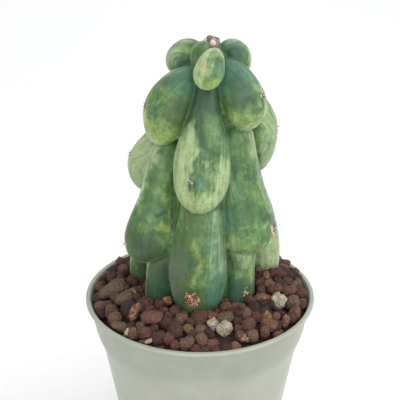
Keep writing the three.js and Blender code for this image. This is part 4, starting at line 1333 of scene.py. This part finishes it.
grain_rows = []
for x, y, z, a, b, c, tilt, tone in MARKED_GRAINS:
    grain_rows.append((
        Vector((x, y, z)) * MM, (0, -math.radians(tilt), 0), (a, b, c),
        dice.randrange(GRAIN_SHAPES), tone))
for x, y, z, radius in settled[first_free:count_settled]:
    stretch = sorted(dice.uniform(*limits) for limits in GRAIN_STRETCH)
    dice.shuffle(stretch)
    tone = min(TONE_MOST, abs(dice.gauss(TONE_MIDDLE, TONE_SPREAD)))
    if dice.random() < PALE_SHARE:
        tone = dice.uniform(*PALE_TONES)
    grain_rows.append((
        Vector((x, y, z)) * MM, [dice.uniform(0, 6.28) for _ in range(3)],
        [radius * share for share in stretch], dice.randrange(GRAIN_SHAPES), tone))

# Scoria: dull and dry, pitted with gas bubbles, purplish to red brown with rusty faces;
# the pits are painted dark for the shade inside them
scoria = Finish("tumbled_scoria", Roughness=0.93)
grain_tone = scoria.add("Attribute", attribute_name="tone").outputs["Fac"]
scoria_cloud = scoria.add(
    "TexNoise", Vector=scoria.place, Scale=1 / (SCORIA_CLOUD * MM), Detail=5.0, Roughness=0.65)
pits = scoria.add("TexVoronoi", Vector=scoria.place,
                  Scale=1 / (SCORIA_PIT * MM)).outputs["Distance"]
cloud_shift = scoria.add("Math", scoria_cloud, 0.5, -0.25, operation="MULTIPLY_ADD")
scoria_base = scoria.add(
    "ValToRGB", scoria.add("Math", grain_tone, cloud_shift, operation="ADD"),
    stops=[(0.05, "#352628"), (0.3, "#4a332f"), (0.5, "#664338"), (0.66, "#80594a"),
           (0.78, "#6b5e4d"), (0.88, "#87573a"), (1.0, "#c9b696")])
scoria_height = scoria.add("Math", scoria_cloud, 0.8, pits, operation="MULTIPLY_ADD")
# Painted shade: the pits are blended towards near black
pit_shade = scoria.add("MapRange", pits, 0.08, 0.42, 0.4, 0.0)
scoria.join(
    Base_Color=scoria.add(
        "Mix", pit_shade, scoria_base, linear("#2c1f1d"), data_type="RGBA"),
    Normal=scoria.add("Bump", Height=scoria_height, Strength=1.0, Distance=0.7 * MM))

grain_shapes = [
    lumpy_shape(f"grain_{i}", 2, *GRAIN_LUMPS, 60 + i, GRAIN_BLUNTNESS)
    for i in range(GRAIN_SHAPES)]
grains = stood_copies("lava_grains", scoria.material, grain_shapes, grain_rows, 6)
for vert in grains.data.vertices:
    most = wall_inside(vert.co.z / MM) * MM
    if vert.co.xy.length > most:
        vert.co.xy *= most / vert.co.xy.length

# The bed under the grains: the same grit, packed down to the potting mix, given a darker
# tone than most grains as painted shade in the gaps between them
BED_SINK = 2.6
BED_FLOOR = 47.3
BED_REACH = 30.0
BED_STEPS = 12
BED_SIDES = 96
BED_SHADE_TONE = 0.2
bed_profile = [Vector((0, BED_FLOOR)), Vector((wall_inside(BED_FLOOR) - 0.3, BED_FLOOR))]
for i in range(BED_STEPS + 1):
    r = BED_REACH - BED_REACH * i / BED_STEPS
    bed_profile.append(Vector((r, grit_top(0, -r) - BED_SINK)))
bed = new_object("grit_bed", turned("grit_bed", bed_profile, BED_SIDES), scoria.material)
bed_tone = bed.data.attributes.new("tone", "FLOAT", "POINT")
bed_tone.data.foreach_set("value", [BED_SHADE_TONE] * len(bed.data.vertices))
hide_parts("lava_grit")
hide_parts("lava_grit")
for piece in (grains, bed):
    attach(piece, "root")
